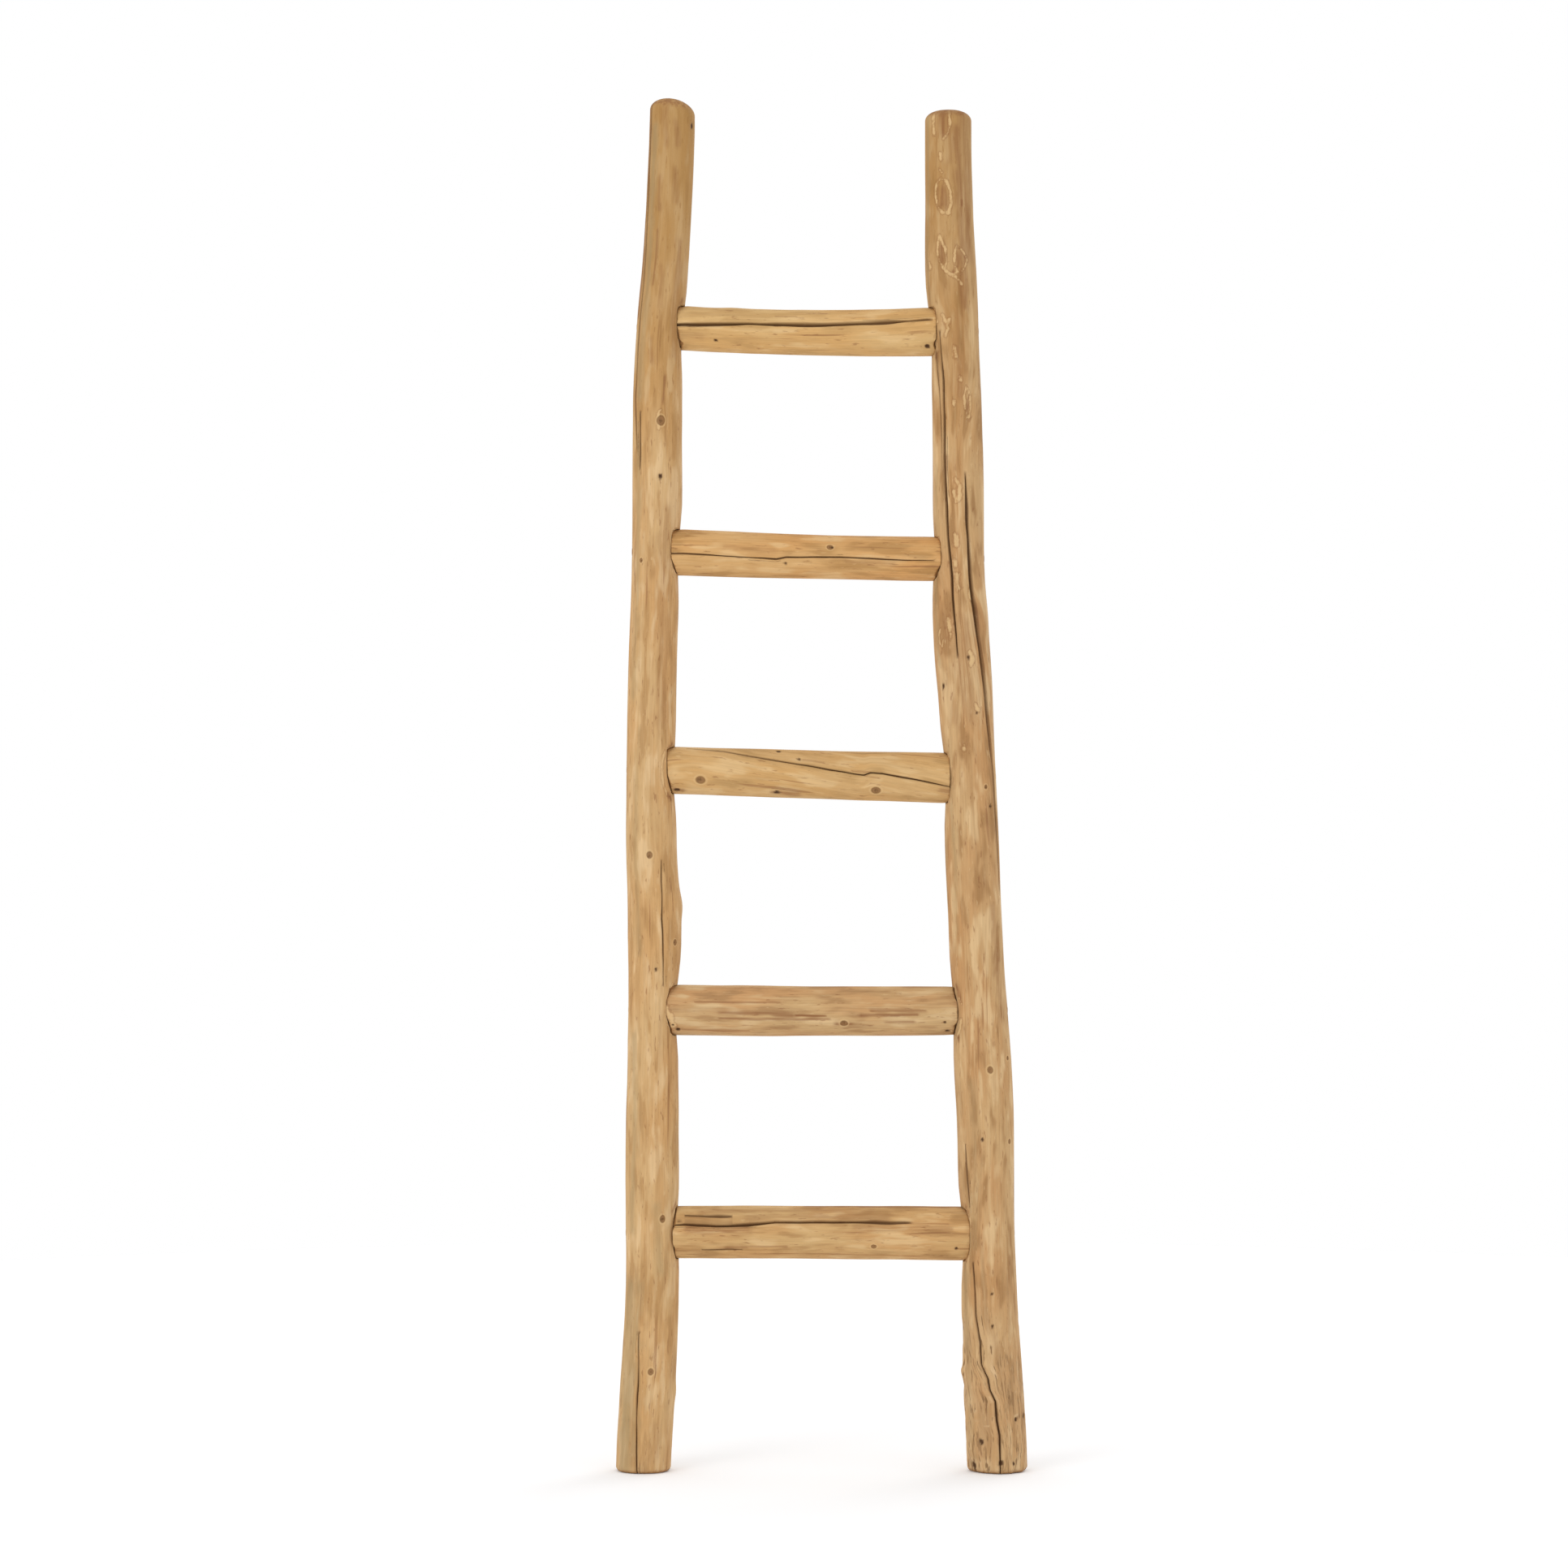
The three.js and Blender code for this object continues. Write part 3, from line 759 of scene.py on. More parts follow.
RIGHT_POLE = {
    "dome": 14 * MM,
    "dome_fullness": 0.75,
    "shoulder_tilt": 0.0,
    "foot_detail": 1.2,
    "checks": [
        ([(1404, -58), (1337, -46), (1240, -41)], 1.3, 3),
        ([(1412, -38), (1349, -33), (1253, -35), (1156, -27), (1105, -18), (1005, -12)], 3.0, 7),
        ([(1236, 15), (1143, 21), (1092, 27), (1046, 34), (981, 44), (930, 51), (816, 65),
          (716, 73)], 4.2, 8),
        ([(262, -38), (223, -33), (196, -34), (160, -25), (135, -26), (118, -13), (104, -10), (90, 0),
          (66, 1), (48, 6), (19, 5), (-6, 3)], 2.6, 6),
        ([(1630, 140), (1480, 150), (1330, 142)], 1.8, 5),
        ([(900, -128), (700, -140), (520, -133)], 2.0, 6),
        ([(480, 118), (330, 126), (170, 121)], 1.8, 5),
        ([(406, -50), (370, -46), (328, -41)], 1.2, 2.5),
    ],
    "knots": [
        (498, 13, 3.6), (409, 54, 2.4), (847, 34, 2.2), (512, 59, 2.2),
        (1250, 155, 6), (610, -168, 5.5), (1110, -120, 5), (300, 150, 5),
    ],
    "pits": [(971, -55, 2.8), (39, -33, 3.8), (823, 47, 2.0), (412, -10, 2.0), (14, 6, 3.4), (66, 44, 2.4),
             (70, 70, 3), (8, -58, 4.5), (222, 3, 1.8), (182, 2, 1.8), (12, 34, 2.4), (1007, 10, 2.0),
             (939, 22, 1.8)],
    "bumps": [(1062, 62, 16, 1.2), (124, -80, 7, 3.0), (118, -60, 10, 1.4)],
    "scars": [
        ([(1688, -8), (1680, -2), (1665, 4), (1652, -6), (1648, -14)], 1.6),
        ([(1680, -47), (1668, -42), (1652, -40)], 1.8),
        ([(1628, -24), (1622, -22)], 2.2),
        ([(1610, -27), (1606, -20)], 1.6),
        ([(1598, -23), (1591, -34), (1578, -37), (1565, -31), (1556, -20), (1555, -4),
          (1568, 3), (1584, 1), (1595, -8), (1598, -23)], 1.5),
        ([(1528, -28), (1512, -14), (1496, -11), (1485, -17), (1496, -28), (1510, -34), (1528, -28)], 1.4),
        ([(1484, -14), (1480, -6), (1478, 4), (1474, 14), (1467, 23)], 1.7),
        ([(1516, 13), (1505, 7), (1492, 6), (1483, 12), (1480, 20), (1488, 31), (1499, 39),
          (1508, 28), (1516, 13)], 1.3),
        ([(1495, -58), (1489, -56)], 2.0),
        ([(1430, -27), (1421, -20), (1412, -15), (1404, -22)], 1.9),
        ([(1424, -12), (1418, -14)], 2.0),
        ([(1388, -1), (1378, 0)], 2.4),
        ([(1352, 10), (1349, 10)], 2.0),
        ([(1342, 24), (1330, 33), (1312, 32), (1300, 25), (1314, 18), (1330, 17), (1342, 24)], 1.3),
        ([(1322, -9), (1318, -9)], 1.9),
        ([(1226, -10), (1219, 2), (1206, 4), (1200, -6), (1212, -14)], 2.2),
        ([(1158, -8), (1146, -9)], 2.4),
        ([(1127, -11), (1119, -11)], 2.2),
        ([(1108, -6), (1092, -4)], 3.0),
        ([(1056, -29), (1030, -26)], 2.4),
        ([(1044, -48), (1036, -56), (1026, -54), (1020, -48), (1030, -44)], 1.5),
        ([(1090, 22), (1078, 23)], 1.5),
        ([(1013, 13), (1004, 19), (998, 13)], 2.4),
        ([(948, 20), (941, 26)], 2.0),
        ([(898, -10), (894, -12)], 2.6),
        ([(1440, -58), (1432, -46), (1420, -42)], 1.2),
        ([(560, -44), (548, -48), (540, -58)], 1.7),
        ([(592, -52), (580, -42)], 1.1),
        ([(326, -56), (316, -43), (302, -38)], 1.0),
    ],
    "stains_and_shades": [
        ([(1660, 22), (1560, 30), (1440, 26)], 7.0, 0.6),
        ([(1690, 40), (1600, 48), (1500, 46)], 9.0, 0.5),
        ([(1684, -20), (1655, -16)], 7.0, 0.75),
        ([(1584, -17), (1566, -17)], 6.0, 0.8),
        ([(1660, 12), (1620, 4)], 7.0, 0.4),
        ([(1514, -24), (1497, -22)], 3.6, 0.8),
        ([(1502, 16), (1490, 16)], 3.6, 0.7),
        ([(1571, 31), (1565, 31)], 3.2, 1.0),
        ([(1505, 33), (1500, 34)], 2.6, 0.9),
        ([(1322, 25), (1314, 25)], 2.2, 0.7),
        ([(1484, 4), (1480, -2)], 2.0, 0.9),
        ([(1012, -12), (970, -9), (925, -8)], 1.0, 0.7),
        ([(1050, 12), (1000, 0), (940, 4)], 15.0, 0.4),
        ([(990, -36), (930, -30)], 8.0, 0.3),
        ([(1384, -46), (1378, -52)], 3.0, 0.95),
        ([(602, -56), (594, -48), (584, -42)], 2.2, 0.9),
        ([(540, -60), (536, -54)], 3.0, 0.95),
        ([(329, -60), (322, -48)], 2.0, 0.7),
        ([(1430, 15), (1330, 5)], 7.0, 0.4),
        ([(1255, -31), (1235, -33)], 2.4, 0.7),
        ([(700, 40), (560, 50)], 5.0, 0.4),
    ],
    "greys": [
        ([(1676, -66), (1600, -62), (1500, -66), (1420, -60)], 3.0, 0.45),
        ([(1240, -62), (1130, -66), (1000, -60)], 4.0, 0.5),
        ([(900, -50), (760, -44), (640, -52)], 5.0, 0.35),
        ([(600, -56), (540, -58)], 6.0, 0.6),
        ([(480, -30), (380, -24), (280, -34)], 6.0, 0.35),
        ([(260, -62), (120, -58), (10, -60)], 6.0, 0.45),
        ([(1500, 160), (1200, 150), (900, 165)], 9.0, 0.5),
    ],
    "worn": [(118, 120, 0.95)],
}


def dome_rings(pole):
    """The rings of a rounded top: share of the radius, and share of the dome's height."""
    turns = [i / DOME_RINGS * math.acos(DOME_TIP_SHARE) for i in range(1, DOME_RINGS + 1)]
    return [(math.cos(turn) ** pole["dome_fullness"], math.sin(turn)) for turn in turns]


def tilt_top(points, timber, pole, height):
    """Leans the shoulder of the top, as a saw cut that isn't quite square leaves it."""
    centre = timber.value(1, points[..., 2])
    radius = timber.value(2, points[..., 2])
    across = np.clip((points[..., 0] - centre) / radius, -1, 1)
    near = smoothstep(height - 4 * pole["dome"], height - pole["dome"], points[..., 2])
    points[..., 2] += pole["shoulder_tilt"] * across * near
    return points


def with_end_rings(layers, top, foot):
    """The attributes of a pole's body, carried on over the rings of its top and foot.

    top and foot are lists of (share of the radius, rise, how much the ring is end grain).
    """
    whole = {}
    for name, values in layers.items():
        upper = np.repeat(values[-1:], len(top), axis=0)
        lower = np.repeat(values[:1], len(foot), axis=0)
        for rings, shapes in ((upper, top), (lower, foot)):
            for ring, (share, rise, end) in zip(rings, shapes):
                if name == "grain":
                    ring[:, :2] *= share
                    ring[:, 2] += rise
                if name == "end":
                    ring[:, 0] = end
        whole[name] = np.concatenate([lower, values, upper])
    return whole


def make_pole(side, pole, seed):
    name = f"pole_{side}"
    height = frame_height(name) if pole["shoulder_tilt"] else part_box(name)[1].z
    shoulder = height - pole["dome"]
    start = foot_centre(name)
    timber = Timber(name, Z_AXIS, X_AXIS, FOOT_EDGE + MM, shoulder - MM, start, POLE_LOWEST_SHARE)
    joints = [Joint(side, number) for number in RUNG_NUMBERS]
    places = [(mark[0] * MM, 12 * MM, 1.0) for mark in pole["knots"] + pole["pits"]]
    places += [(joint.z, 45 * MM, 0.6) for joint in joints]
    places += [SCARRED_ROWS, (60 * MM, 90 * MM, pole["foot_detail"])]
    heights = spaced_rows(FOOT_EDGE, shoulder, POLE_ROWS, places)
    turns = FULL_TURN * np.arange(POLE_COLUMNS) / POLE_COLUMNS
    along, angle = np.meshgrid(heights, turns, indexing="ij")
    marks = Marks(timber, angle, along, pole, seed)
    radius = marks.final_radius()

    def end_ring(row, share, z):
        ring = timber.points(along[row], marks.angle[row], radius[row] * share)
        ring[:, 2] = z
        return ring

    dome = dome_rings(pole)
    top = [end_ring(-1, share, shoulder + (height - shoulder) * rise) for share, rise in dome]
    foot = [end_ring(0, share, rise * MM) for rise, share in FOOT_RINGS]
    body = timber.points(along, marks.angle, radius)
    points = tilt_top(np.concatenate([foot, body, top]), timber, pole, height)
    top_shapes = [(share, pole["dome"] * rise, smoothstep(1.0, 0.86, share)) for share, rise in dome]
    foot_shapes = [(share, 0.0, smoothstep(1.0, 0.95, share)) for _, share in FOOT_RINGS]
    layers = with_end_rings(marks.layers(seed * GRAIN_OFFSET), top_shapes, foot_shapes)
    piece = grid_object(name + "_wood", points, layers, 3, False, WOOD_UV_WIDTH)
    corners = [vertex.co for vertex in piece.data.vertices]
    skin = BVHTree.FromPolygons(corners, [face.vertices for face in piece.data.polygons])
    for joint in joints:
        joint.find_inner_face(skin)
    return piece, skin, joints


def middle_of(corners):
    return sum((Vector(corner) for corner in corners), Vector()) / len(corners)


def frame_height(name):
    """The height of a pole's top on its own axis, found from above."""
    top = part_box(name)[1].z
    corners = [v.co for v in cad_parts[name].data.vertices if v.co.z > top - 30 * MM]
    middle = middle_of(corners)
    hit = tree_of(name).ray_cast(Vector((middle.x, middle.y, top + 0.1)), Vector((0, 0, -1)))
    return hit[0].z


def foot_centre(name):
    corners = [v.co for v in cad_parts[name].data.vertices if v.co.z < 1 * MM]
    return np.array(middle_of(corners))


# ---------------------------------------------------------------- rungs

RUNG_COLUMNS = 176
RUNG_ROWS = 170
RUNG_INSET = 42 * MM
RUNG_LOWEST_SHARE = 0.75
EDGE_ROUNDING = [(0.0, 0.75), (0.45, 0.2), (1.3, 0.0)]
SEAT_REACH = 34 * MM
END_FULLNESS = 0.8

RUNGS = {
    1: {
        "checks": [
            ([(-250, 2), (-192, 5), (-136, 12), (-94, 17), (-44, 18), (-13, 19), (45, 23), (86, 27),
              (138, 31)], 5.2, 10),
            ([(-60, 168), (40, 175), (130, 170)], 1.6, 5),
        ],
        "knots": [(70, -150, 5)],
        "pits": [(130, -46, 3.4), (-131, -39, 1.9), (-120, 118, 3)],
        "stains_and_shades": [([(-57, 44), (-31, 45)], 1.4, 0.6), ([(-190, -25), (-150, -30)], 5.0, 0.35)],
        "bumps": [(-110, 84, 14, 0.9)],
        "ends": {
            "left": {"edge": 1.0, "overlap": 6.5, "bluntness": 6, "chips": [(-48, 44, 4.5), (-62, 16, 3)]},
            "right": {"edge": 0.35, "overlap": 6.2, "bluntness": 5, "chips": [(-42, 13, 3)]},
        },
    },
    2: {
        "checks": [
            ([(-220, -4), (-164, -6), (-110, -9), (-56, -13), (-44, -6), (22, -2), (104, -8),
              (140, -8)], 1.7, 3.5),
            ([(-120, 150), (60, 158)], 1.6, 5),
        ],
        "knots": [(10, 27, 2.8), (120, 130, 4.5)],
        "pits": [(13, 27, 1.4), (-45, -25, 1.8)],
        "stains_and_shades": [([(-120, 16), (-60, 12)], 4.0, 0.3), ([(30, -14), (90, -18)], 3.0, 0.4)],
        "ends": {
            "left": {"edge": 0.25, "overlap": 8.0, "bluntness": 5, "chips": [(-62, 34, 5)]},
            "right": {"edge": 0.7, "overlap": 7.2, "bluntness": 4, "chips": [(-60, 32, 7)]},
        },
    },
    3: {
        "checks": [
            ([(-168, 75), (-120, 64), (-85, 48), (-47, 34), (1, 18), (40, 4), (52, 1), (61, 9), (75, 8),
              (111, -6), (157, -24), (210, -38)], 2.0, 4.5),
            ([(-90, -150), (90, -160)], 1.8, 5),
        ],
        "knots": [(-150, -25, 4.4), (67, -39, 4.4), (-40, 140, 5)],
        "pits": [(-54, 72, 3.0), (-28, 44, 2.4), (-56, -58, 3.4), (-180, -62, 3.2)],
        "stains_and_shades": [
            ([(-62, -56), (-30, -60)], 3.5, 0.8),
            ([(-24, 42), (3, 34)], 1.3, 0.7),
            ([(52, 0), (70, -5)], 0.8, 0.7),
            ([(36, 13), (60, 10)], 0.8, 0.7),
            ([(148, -36), (172, -40)], 4.0, 0.6),
            ([(-182, -56), (-172, -60)], 3.5, 0.8),
        ],
        "ends": {
            "left": {"edge": 0.7, "overlap": 8.0, "bluntness": 2.6, "chips": [(-72, 16, 2)]},
            "right": {"edge": 0.3, "overlap": 4.2, "bluntness": 7, "chips": [(-66, 16, 2.5)]},
        },
    },
    4: {
        "checks": [
            ([(-40, 146), (120, 152)], 1.8, 5),
        ],
        "knots": [(27, -29, 3.4), (-110, 160, 5)],
        "pits": [(155, -58, 2.4), (-178, -54, 2.6), (152, -30, 1.6), (-184, -40, 1.6)],
        "stains_and_shades": [
            ([(-126, -18), (-60, -19), (9, -18)], 1.5, 1.0),
            ([(-33, -9), (4, -10)], 1.5, 1.0),
            ([(-126, -4), (-80, -3), (-37, -8)], 3.8, 0.75),
            ([(-157, 25), (-100, 25), (-53, 27)], 1.4, 0.8),
            ([(48, -7), (118, -8)], 2.0, 0.95),
            ([(61, 4), (128, 3)], 2.4, 0.65),
            ([(79, -26), (113, -27)], 2.4, 0.6),
            ([(18, -31), (36, -32)], 3.0, 0.7),
            ([(-180, -52), (-90, -54)], 1.3, 0.6),
        ],
        "scars": [([(-193, 12), (-188, -10), (-184, -40)], 3.0)],
        "ends": {
            "left": {"edge": 0.6, "overlap": 11.0, "bluntness": 3.4,
                     "chips": [(-52, 30, 4.5), (52, 16, 2.5)]},
            "right": {"edge": 1.0, "overlap": 4.0, "bluntness": 3, "chips": [(58, 26, 4), (-58, 24, 4.5)]},
        },
    },
    5: {
        "checks": [
            ([(-230, 20), (-170, 26), (-133, 21), (-93, 25), (-59, 32), (38, 33), (112, 31)], 4.4, 8),
            ([(-170, 49), (-140, 47), (-110, 47)], 3.0, 5),
            ([(-148, -43), (-99, -43)], 1.9, 3),
            ([(-130, 170), (100, 162)], 1.8, 5),
        ],
        "knots": [(64, -31, 2.6), (-60, 150, 5)],
        "pits": [(-176, 36, 2.6), (166, -36, 2.0)],
        "stains_and_shades": [
            # The first streak is a painted shadow under the long check above it.
            ([(-165, 14), (-130, 11), (-92, 17)], 5.0, 0.7),
            ([(-118, -35), (-93, -34)], 1.6, 1.0),
            ([(-93, -33), (-43, -33)], 1.1, 0.7),
            ([(104, 31), (156, 29)], 1.2, 0.7),
            ([(-90, 42), (0, 44), (80, 42)], 6.0, 0.45),
            ([(-150, 62), (-40, 66), (60, 64)], 5.0, 0.4),
            ([(-20, 84), (60, 82), (176, 80)], 2.4, 0.9),
            ([(40, 20), (110, 18), (160, 16)], 4.0, 0.4),
            ([(166, -36), (182, -36)], 1.1, 0.8),
            ([(-185, -46), (-150, -46)], 1.1, 0.6),
        ],
        "ends": {
            "left": {"edge": 0.3, "overlap": 5.5, "bluntness": 4.5, "chips": [(-60, 26, 3.5), (52, 32, 5)]},
            "right": {"edge": 0.6, "overlap": 7.2, "bluntness": 3, "chips": [(62, 14, 2)]},
        },
    },
}


def end_reach(joint, angle, end, seed):
    """The X at which each column of a rung ends: a blunt curve over the pole, less its chips."""
    blunt = end["bluntness"]
    bow = (1 - np.clip(np.abs(np.sin(angle)), 0, 1) ** blunt) ** (1 / blunt)
    reach = end["overlap"] * MM * (1 - END_FULLNESS + END_FULLNESS * bow)
    ragged = grain_noise(seed + joint.out, 0 * angle, angle, 1.0, 26)
    reach = reach - 0.4 * MM * np.clip(ragged, 0, 1)
    for degrees, half_width, depth in end["chips"]:
        away = wrap(angle - math.radians(degrees)) / math.radians(half_width)
        reach = reach - depth * MM * np.exp(-away ** 4) * (0.85 + 0.15 * ragged)
    return joint.inner_face + joint.out * reach


def make_rung(number, joints, seed):
    """A rung, and the cutter that lets each of its ends into a pole."""
    name = f"rung_{number}"
    features = RUNGS[number]
    low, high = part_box(name)
    start = np.array([(a + b) / 2 for a, b in zip(low, high)])
    inner_low, inner_high = low.x + RUNG_INSET, high.x - RUNG_INSET
    timber = Timber(name, X_AXIS, Z_AXIS, inner_low, inner_high, start, RUNG_LOWEST_SHARE)
    turns = FULL_TURN * np.arange(RUNG_COLUMNS) / RUNG_COLUMNS
    ends = {side: end_reach(joints[side], turns, features["ends"][side], seed + 71) for side in SIDES}
    shares = spaced_rows(0, 1, RUNG_ROWS, [(0.03, 0.05, 1.5), (0.97, 0.05, 1.5)])
    along = ends["left"] + (ends["right"] - ends["left"]) * shares[:, None]
    angle = np.repeat(turns[None], RUNG_ROWS, axis=0)
    marks = Marks(timber, angle, along, features, seed)
    gaps = {side: np.abs(along - ends[side]) for side in SIDES}
    for side in SIDES:
        marks.wear_end(gaps[side], features["ends"][side]["edge"], seed)
    body = timber.points(along, marks.angle, marks.final_radius())
    outwards = {"left": body[::-1], "right": body}
    rim_angles = {"left": marks.angle[0], "right": marks.angle[-1]}
    caps = {}
    cutters = {}
    for side in SIDES:
        joint = joints[side]
        turned = rim_angles[side]
        root_x = joint.inner_face + joint.out * features["ends"][side]["overlap"] * MM
        rim = outwards[side][-1]
        caps[side] = joint.shoulder(turned, rim, root_x, TENON_RADIUS) + joint.tenon(turned)
        inside = int(np.sum(gaps[side].mean(axis=1) < SEAT_REACH))
        last_rings = list(outwards[side][-inside:-1:2]) + [rim]
        cutters[side] = joint.seat(f"seat_{side}_{number}", turned, last_rings, root_x)
    points = np.concatenate([caps["left"][::-1], body, caps["right"]])
    end_rings = [(1.0, 0.0, 1.0)] * len(caps["left"])
    layers = with_end_rings(marks.layers(seed * GRAIN_OFFSET), end_rings, end_rings)
    piece = grid_object(name + "_wood", points, layers, 1, True, WOOD_UV_WIDTH)
    cut(piece, [joints[side].pilot(f"pilot_{side}_{number}") for side in SIDES])
    return piece, cutters


def finish_piece(piece, name, material):
    piece.data.shade_smooth()
    piece.data.materials.clear()
    piece.data.materials.append(material)
    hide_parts(name)
    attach(piece, "root")


# ---------------------------------------------------------------- screws and plugs

PLUG_SIDES = 32
PLUG_PROUD = 0.25 * MM

# The plug's softened rim: millimetres below its face, and share of its radius.
PLUG_RIM = [(0.0, 0.12), (0.05, 0.35), (0.15, 0.6), (0.3, 0.8), (0.5, 0.92), (1.0, 1.0)]

SCREW_COLUMNS = 24
SHANK_RADIUS = 0.85 * SCREW_RADIUS
THREAD_ROOT = SCREW_RADIUS - 0.55 * MM
THREAD_START = 19 * MM
THREAD_PITCH = 2.0 * MM
THREAD_STEPS = 8
POINT_LENGTH = 9 * MM


def make_plug(side, number, joint, skin):
    """A wooden plug, sanded nearly flush, with a softened rim."""
    away = Vector((joint.plug_out + joint.out * 0.05, joint.y, joint.z))
    face = skin.ray_cast(away, Vector((-joint.out, 0, 0)))[0].x + joint.out * PLUG_PROUD
    length = abs(face - joint.plug_in)
    rings = [(drop * MM, share * PLUG_RADIUS) for drop, share in PLUG_RIM]
    rings += [(length * share, PLUG_RADIUS) for share in (0.3, 0.6, 0.92)]
    rings += [(length, 0.9 * PLUG_RADIUS), (length, 0.3 * PLUG_RADIUS)]
    centre = (face, joint.y, joint.z)
    name = f"plug_{side}_{number}_wood"
    piece = lathe_along_x(name, rings, centre, -joint.out, PLUG_SIDES, (0, 0, 1, 1))
    places = np.empty(len(piece.data.vertices) * 3)
    piece.data.vertices.foreach_get("co", places)
    add_vectors(piece.data, "grain", places + number * 0.4)
    return piece


def make_screw(side, number, joint):
    """A countersunk wood screw with a cross recess and a helical thread."""
    length = abs(joint.screw_head - joint.screw_tip)
    turns = FULL_TURN * np.arange(SCREW_COLUMNS) / SCREW_COLUMNS
    cross = np.maximum(np.abs(np.cos(turns)), np.abs(np.sin(turns))) > 0.96
    rings = []

    def ring(along, radius):
        rings.append(joint.circle(turns, radius, joint.screw_head - joint.out * along))

    for share, depth, between_arms in ((0.05, 2.2, 1.1), (0.3, 1.8, 0.9), (0.5, 1.2, 0.0)):
        ring(np.where(cross, depth, between_arms) * MM, share * SCREW_HEAD_RADIUS)
    ring(0, 0.6 * SCREW_HEAD_RADIUS)
    ring(0, 0.97 * SCREW_HEAD_RADIUS)
    ring(0.4 * MM, SCREW_HEAD_RADIUS)
    ring(SCREW_HEAD_LENGTH, SHANK_RADIUS)
    ring(THREAD_START - 1 * MM, SHANK_RADIUS)
    for place in np.arange(THREAD_START, length - 0.4 * MM, THREAD_PITCH / THREAD_STEPS):
        phase = (place / THREAD_PITCH - turns / FULL_TURN) % 1
        ridge = np.clip(1 - np.abs(phase - 0.5) / 0.22, 0, 1)
        taper = np.clip((length - place) / POINT_LENGTH, 0.06, 1)
        started = np.clip((place - THREAD_START) / (3 * MM), 0, 1)
        ring(place, (THREAD_ROOT + (SCREW_RADIUS - THREAD_ROOT) * ridge * started) * taper)
    ring(length, 0.08 * MM)
    name = f"screw_{side}_{number}_steel"
    return grid_object(name, np.array(rings), {}, 1, joint.out < 0, 1.0)


# ---------------------------------------------------------------- materials

EXPOSURE = 0.88


def paint(red, green, blue):
    """A surface colour from the colour, out of 255, that it shows in even light."""
    linear = []
    for value in (red, green, blue):
        share = value / 255
        linear.append(EXPOSURE * (share / 12.92 if share <= 0.04045 else ((share + 0.055) / 1.055) ** 2.4))
    return (*linear, 1)


class Shader:
    """A node material, with short calls for the nodes that the woods and the steel use."""

    def __init__(self, name):
        self.material = bpy.data.materials.new(name)
        self.material.use_nodes = True
        self.tree = self.material.node_tree
        self.surface = self.tree.nodes["Principled BSDF"]

    def put(self, socket, value):
        if hasattr(value, "links"):
            self.tree.links.new(value, socket)
        else:
            socket.default_value = value

    def node(self, kind, inputs, **settings):
        """A new node. inputs gives its sockets, by name or number, a value or a link."""
        node = self.tree.nodes.new("ShaderNode" + kind)
        for setting, value in settings.items():
            setattr(node, setting, value)
        for socket, value in inputs.items():
            self.put(node.inputs[socket], value)
        return node

    def attribute(self, name):
        return self.node("Attribute", {}, attribute_name=name).outputs["Vector"]

    def parts(self, vector):
        return self.node("SeparateXYZ", {0: vector}).outputs

    def object_place(self):
        return self.node("TexCoord", {}).outputs["Object"]

    def clouds(self, vector, stretch, detail, rough=0.5):
        scaled = self.node("VectorMath", {0: vector, 1: stretch}, operation="MULTIPLY")
        settings = {"Vector": scaled.outputs[0], "Scale": 1.0, "Detail": detail, "Roughness": rough}
        return self.node("TexNoise", settings).outputs

    def noise(self, vector, stretch, detail=2.0, rough=0.5):
        return self.clouds(vector, stretch, detail, rough)["Fac"]

    def wander(self, vector, stretch, distance):
        """The vector moved about smoothly, by up to half of distance each way."""
        moves = self.clouds(vector, stretch, 1.0)["Color"]
        inputs = {0: moves, 1: (distance, distance, 0), 2: vector}
        return self.node("VectorMath", inputs, operation="MULTIPLY_ADD").outputs[0]

    def math(self, operation, a, b):
        return self.node("Math", {0: a, 1: b}, operation=operation).outputs[0]

    def times(self, a, b):
        return self.math("MULTIPLY", a, b)

    def between(self, value, low, high, to_low=0.0, to_high=1.0):
        """value carried from low..high to to_low..to_high, smoothly and held at both ends."""
        ends = {"From Min": low, "From Max": high, "To Min": to_low, "To Max": to_high}
        inputs = {"Value": value, **ends}
        return self.node("MapRange", inputs, interpolation_type="SMOOTHSTEP").outputs["Result"]

    def mix(self, factor, a, b, blend="MIX"):
        inputs = {"Factor": factor, 6: a, 7: b}
        return self.node("Mix", inputs, data_type="RGBA", blend_type=blend).outputs[2]

    def bump(self, height, distance, strength, normal=None):
        inputs = {"Height": height, "Distance": distance, "Strength": strength}
        if normal:
            inputs["Normal"] = normal
        return self.node("Bump", inputs).outputs[0]

    def finish(self, **sockets):
        """Fills the surface's sockets, named with _ for each space, and returns the material."""
        for name, value in sockets.items():
            self.put(self.surface.inputs[name.replace("_", " ")], value)
        return self.material


# The checks' colour is painted shade in their depth, over the brown of their walls.
CRACK_BROWN_AND_SHADE = paint(98, 64, 34)
KNOT_EDGE = paint(104, 72, 36)
KNOT_FILL = paint(142, 101, 62)
PIT_BROWN = paint(78, 50, 26)
SCAR_PALE = paint(220, 184, 132)
WORN_DARK = paint(122, 89, 55)
WORN_MIDDLE = paint(197, 160, 114)
WORN_PALE = paint(220, 187, 142)
# Brown of real stains, also used for painted shade beside the rungs' ends, in the grooves beside scars and
# in a few streaks laid as stains.
STAIN_AND_SHADE_BROWN = paint(138, 90, 54)
GREY_OLIVE = paint(160, 136, 96)
TOP_AMBER = paint(164, 122, 62)
END_BROWN = paint(150, 103, 62)
PLUG_PALE = paint(186, 140, 88)
PLUG_DARK = paint(146, 100, 58)
ZINC_PALE = paint(176, 174, 166)
ZINC_DARK = paint(140, 138, 132)


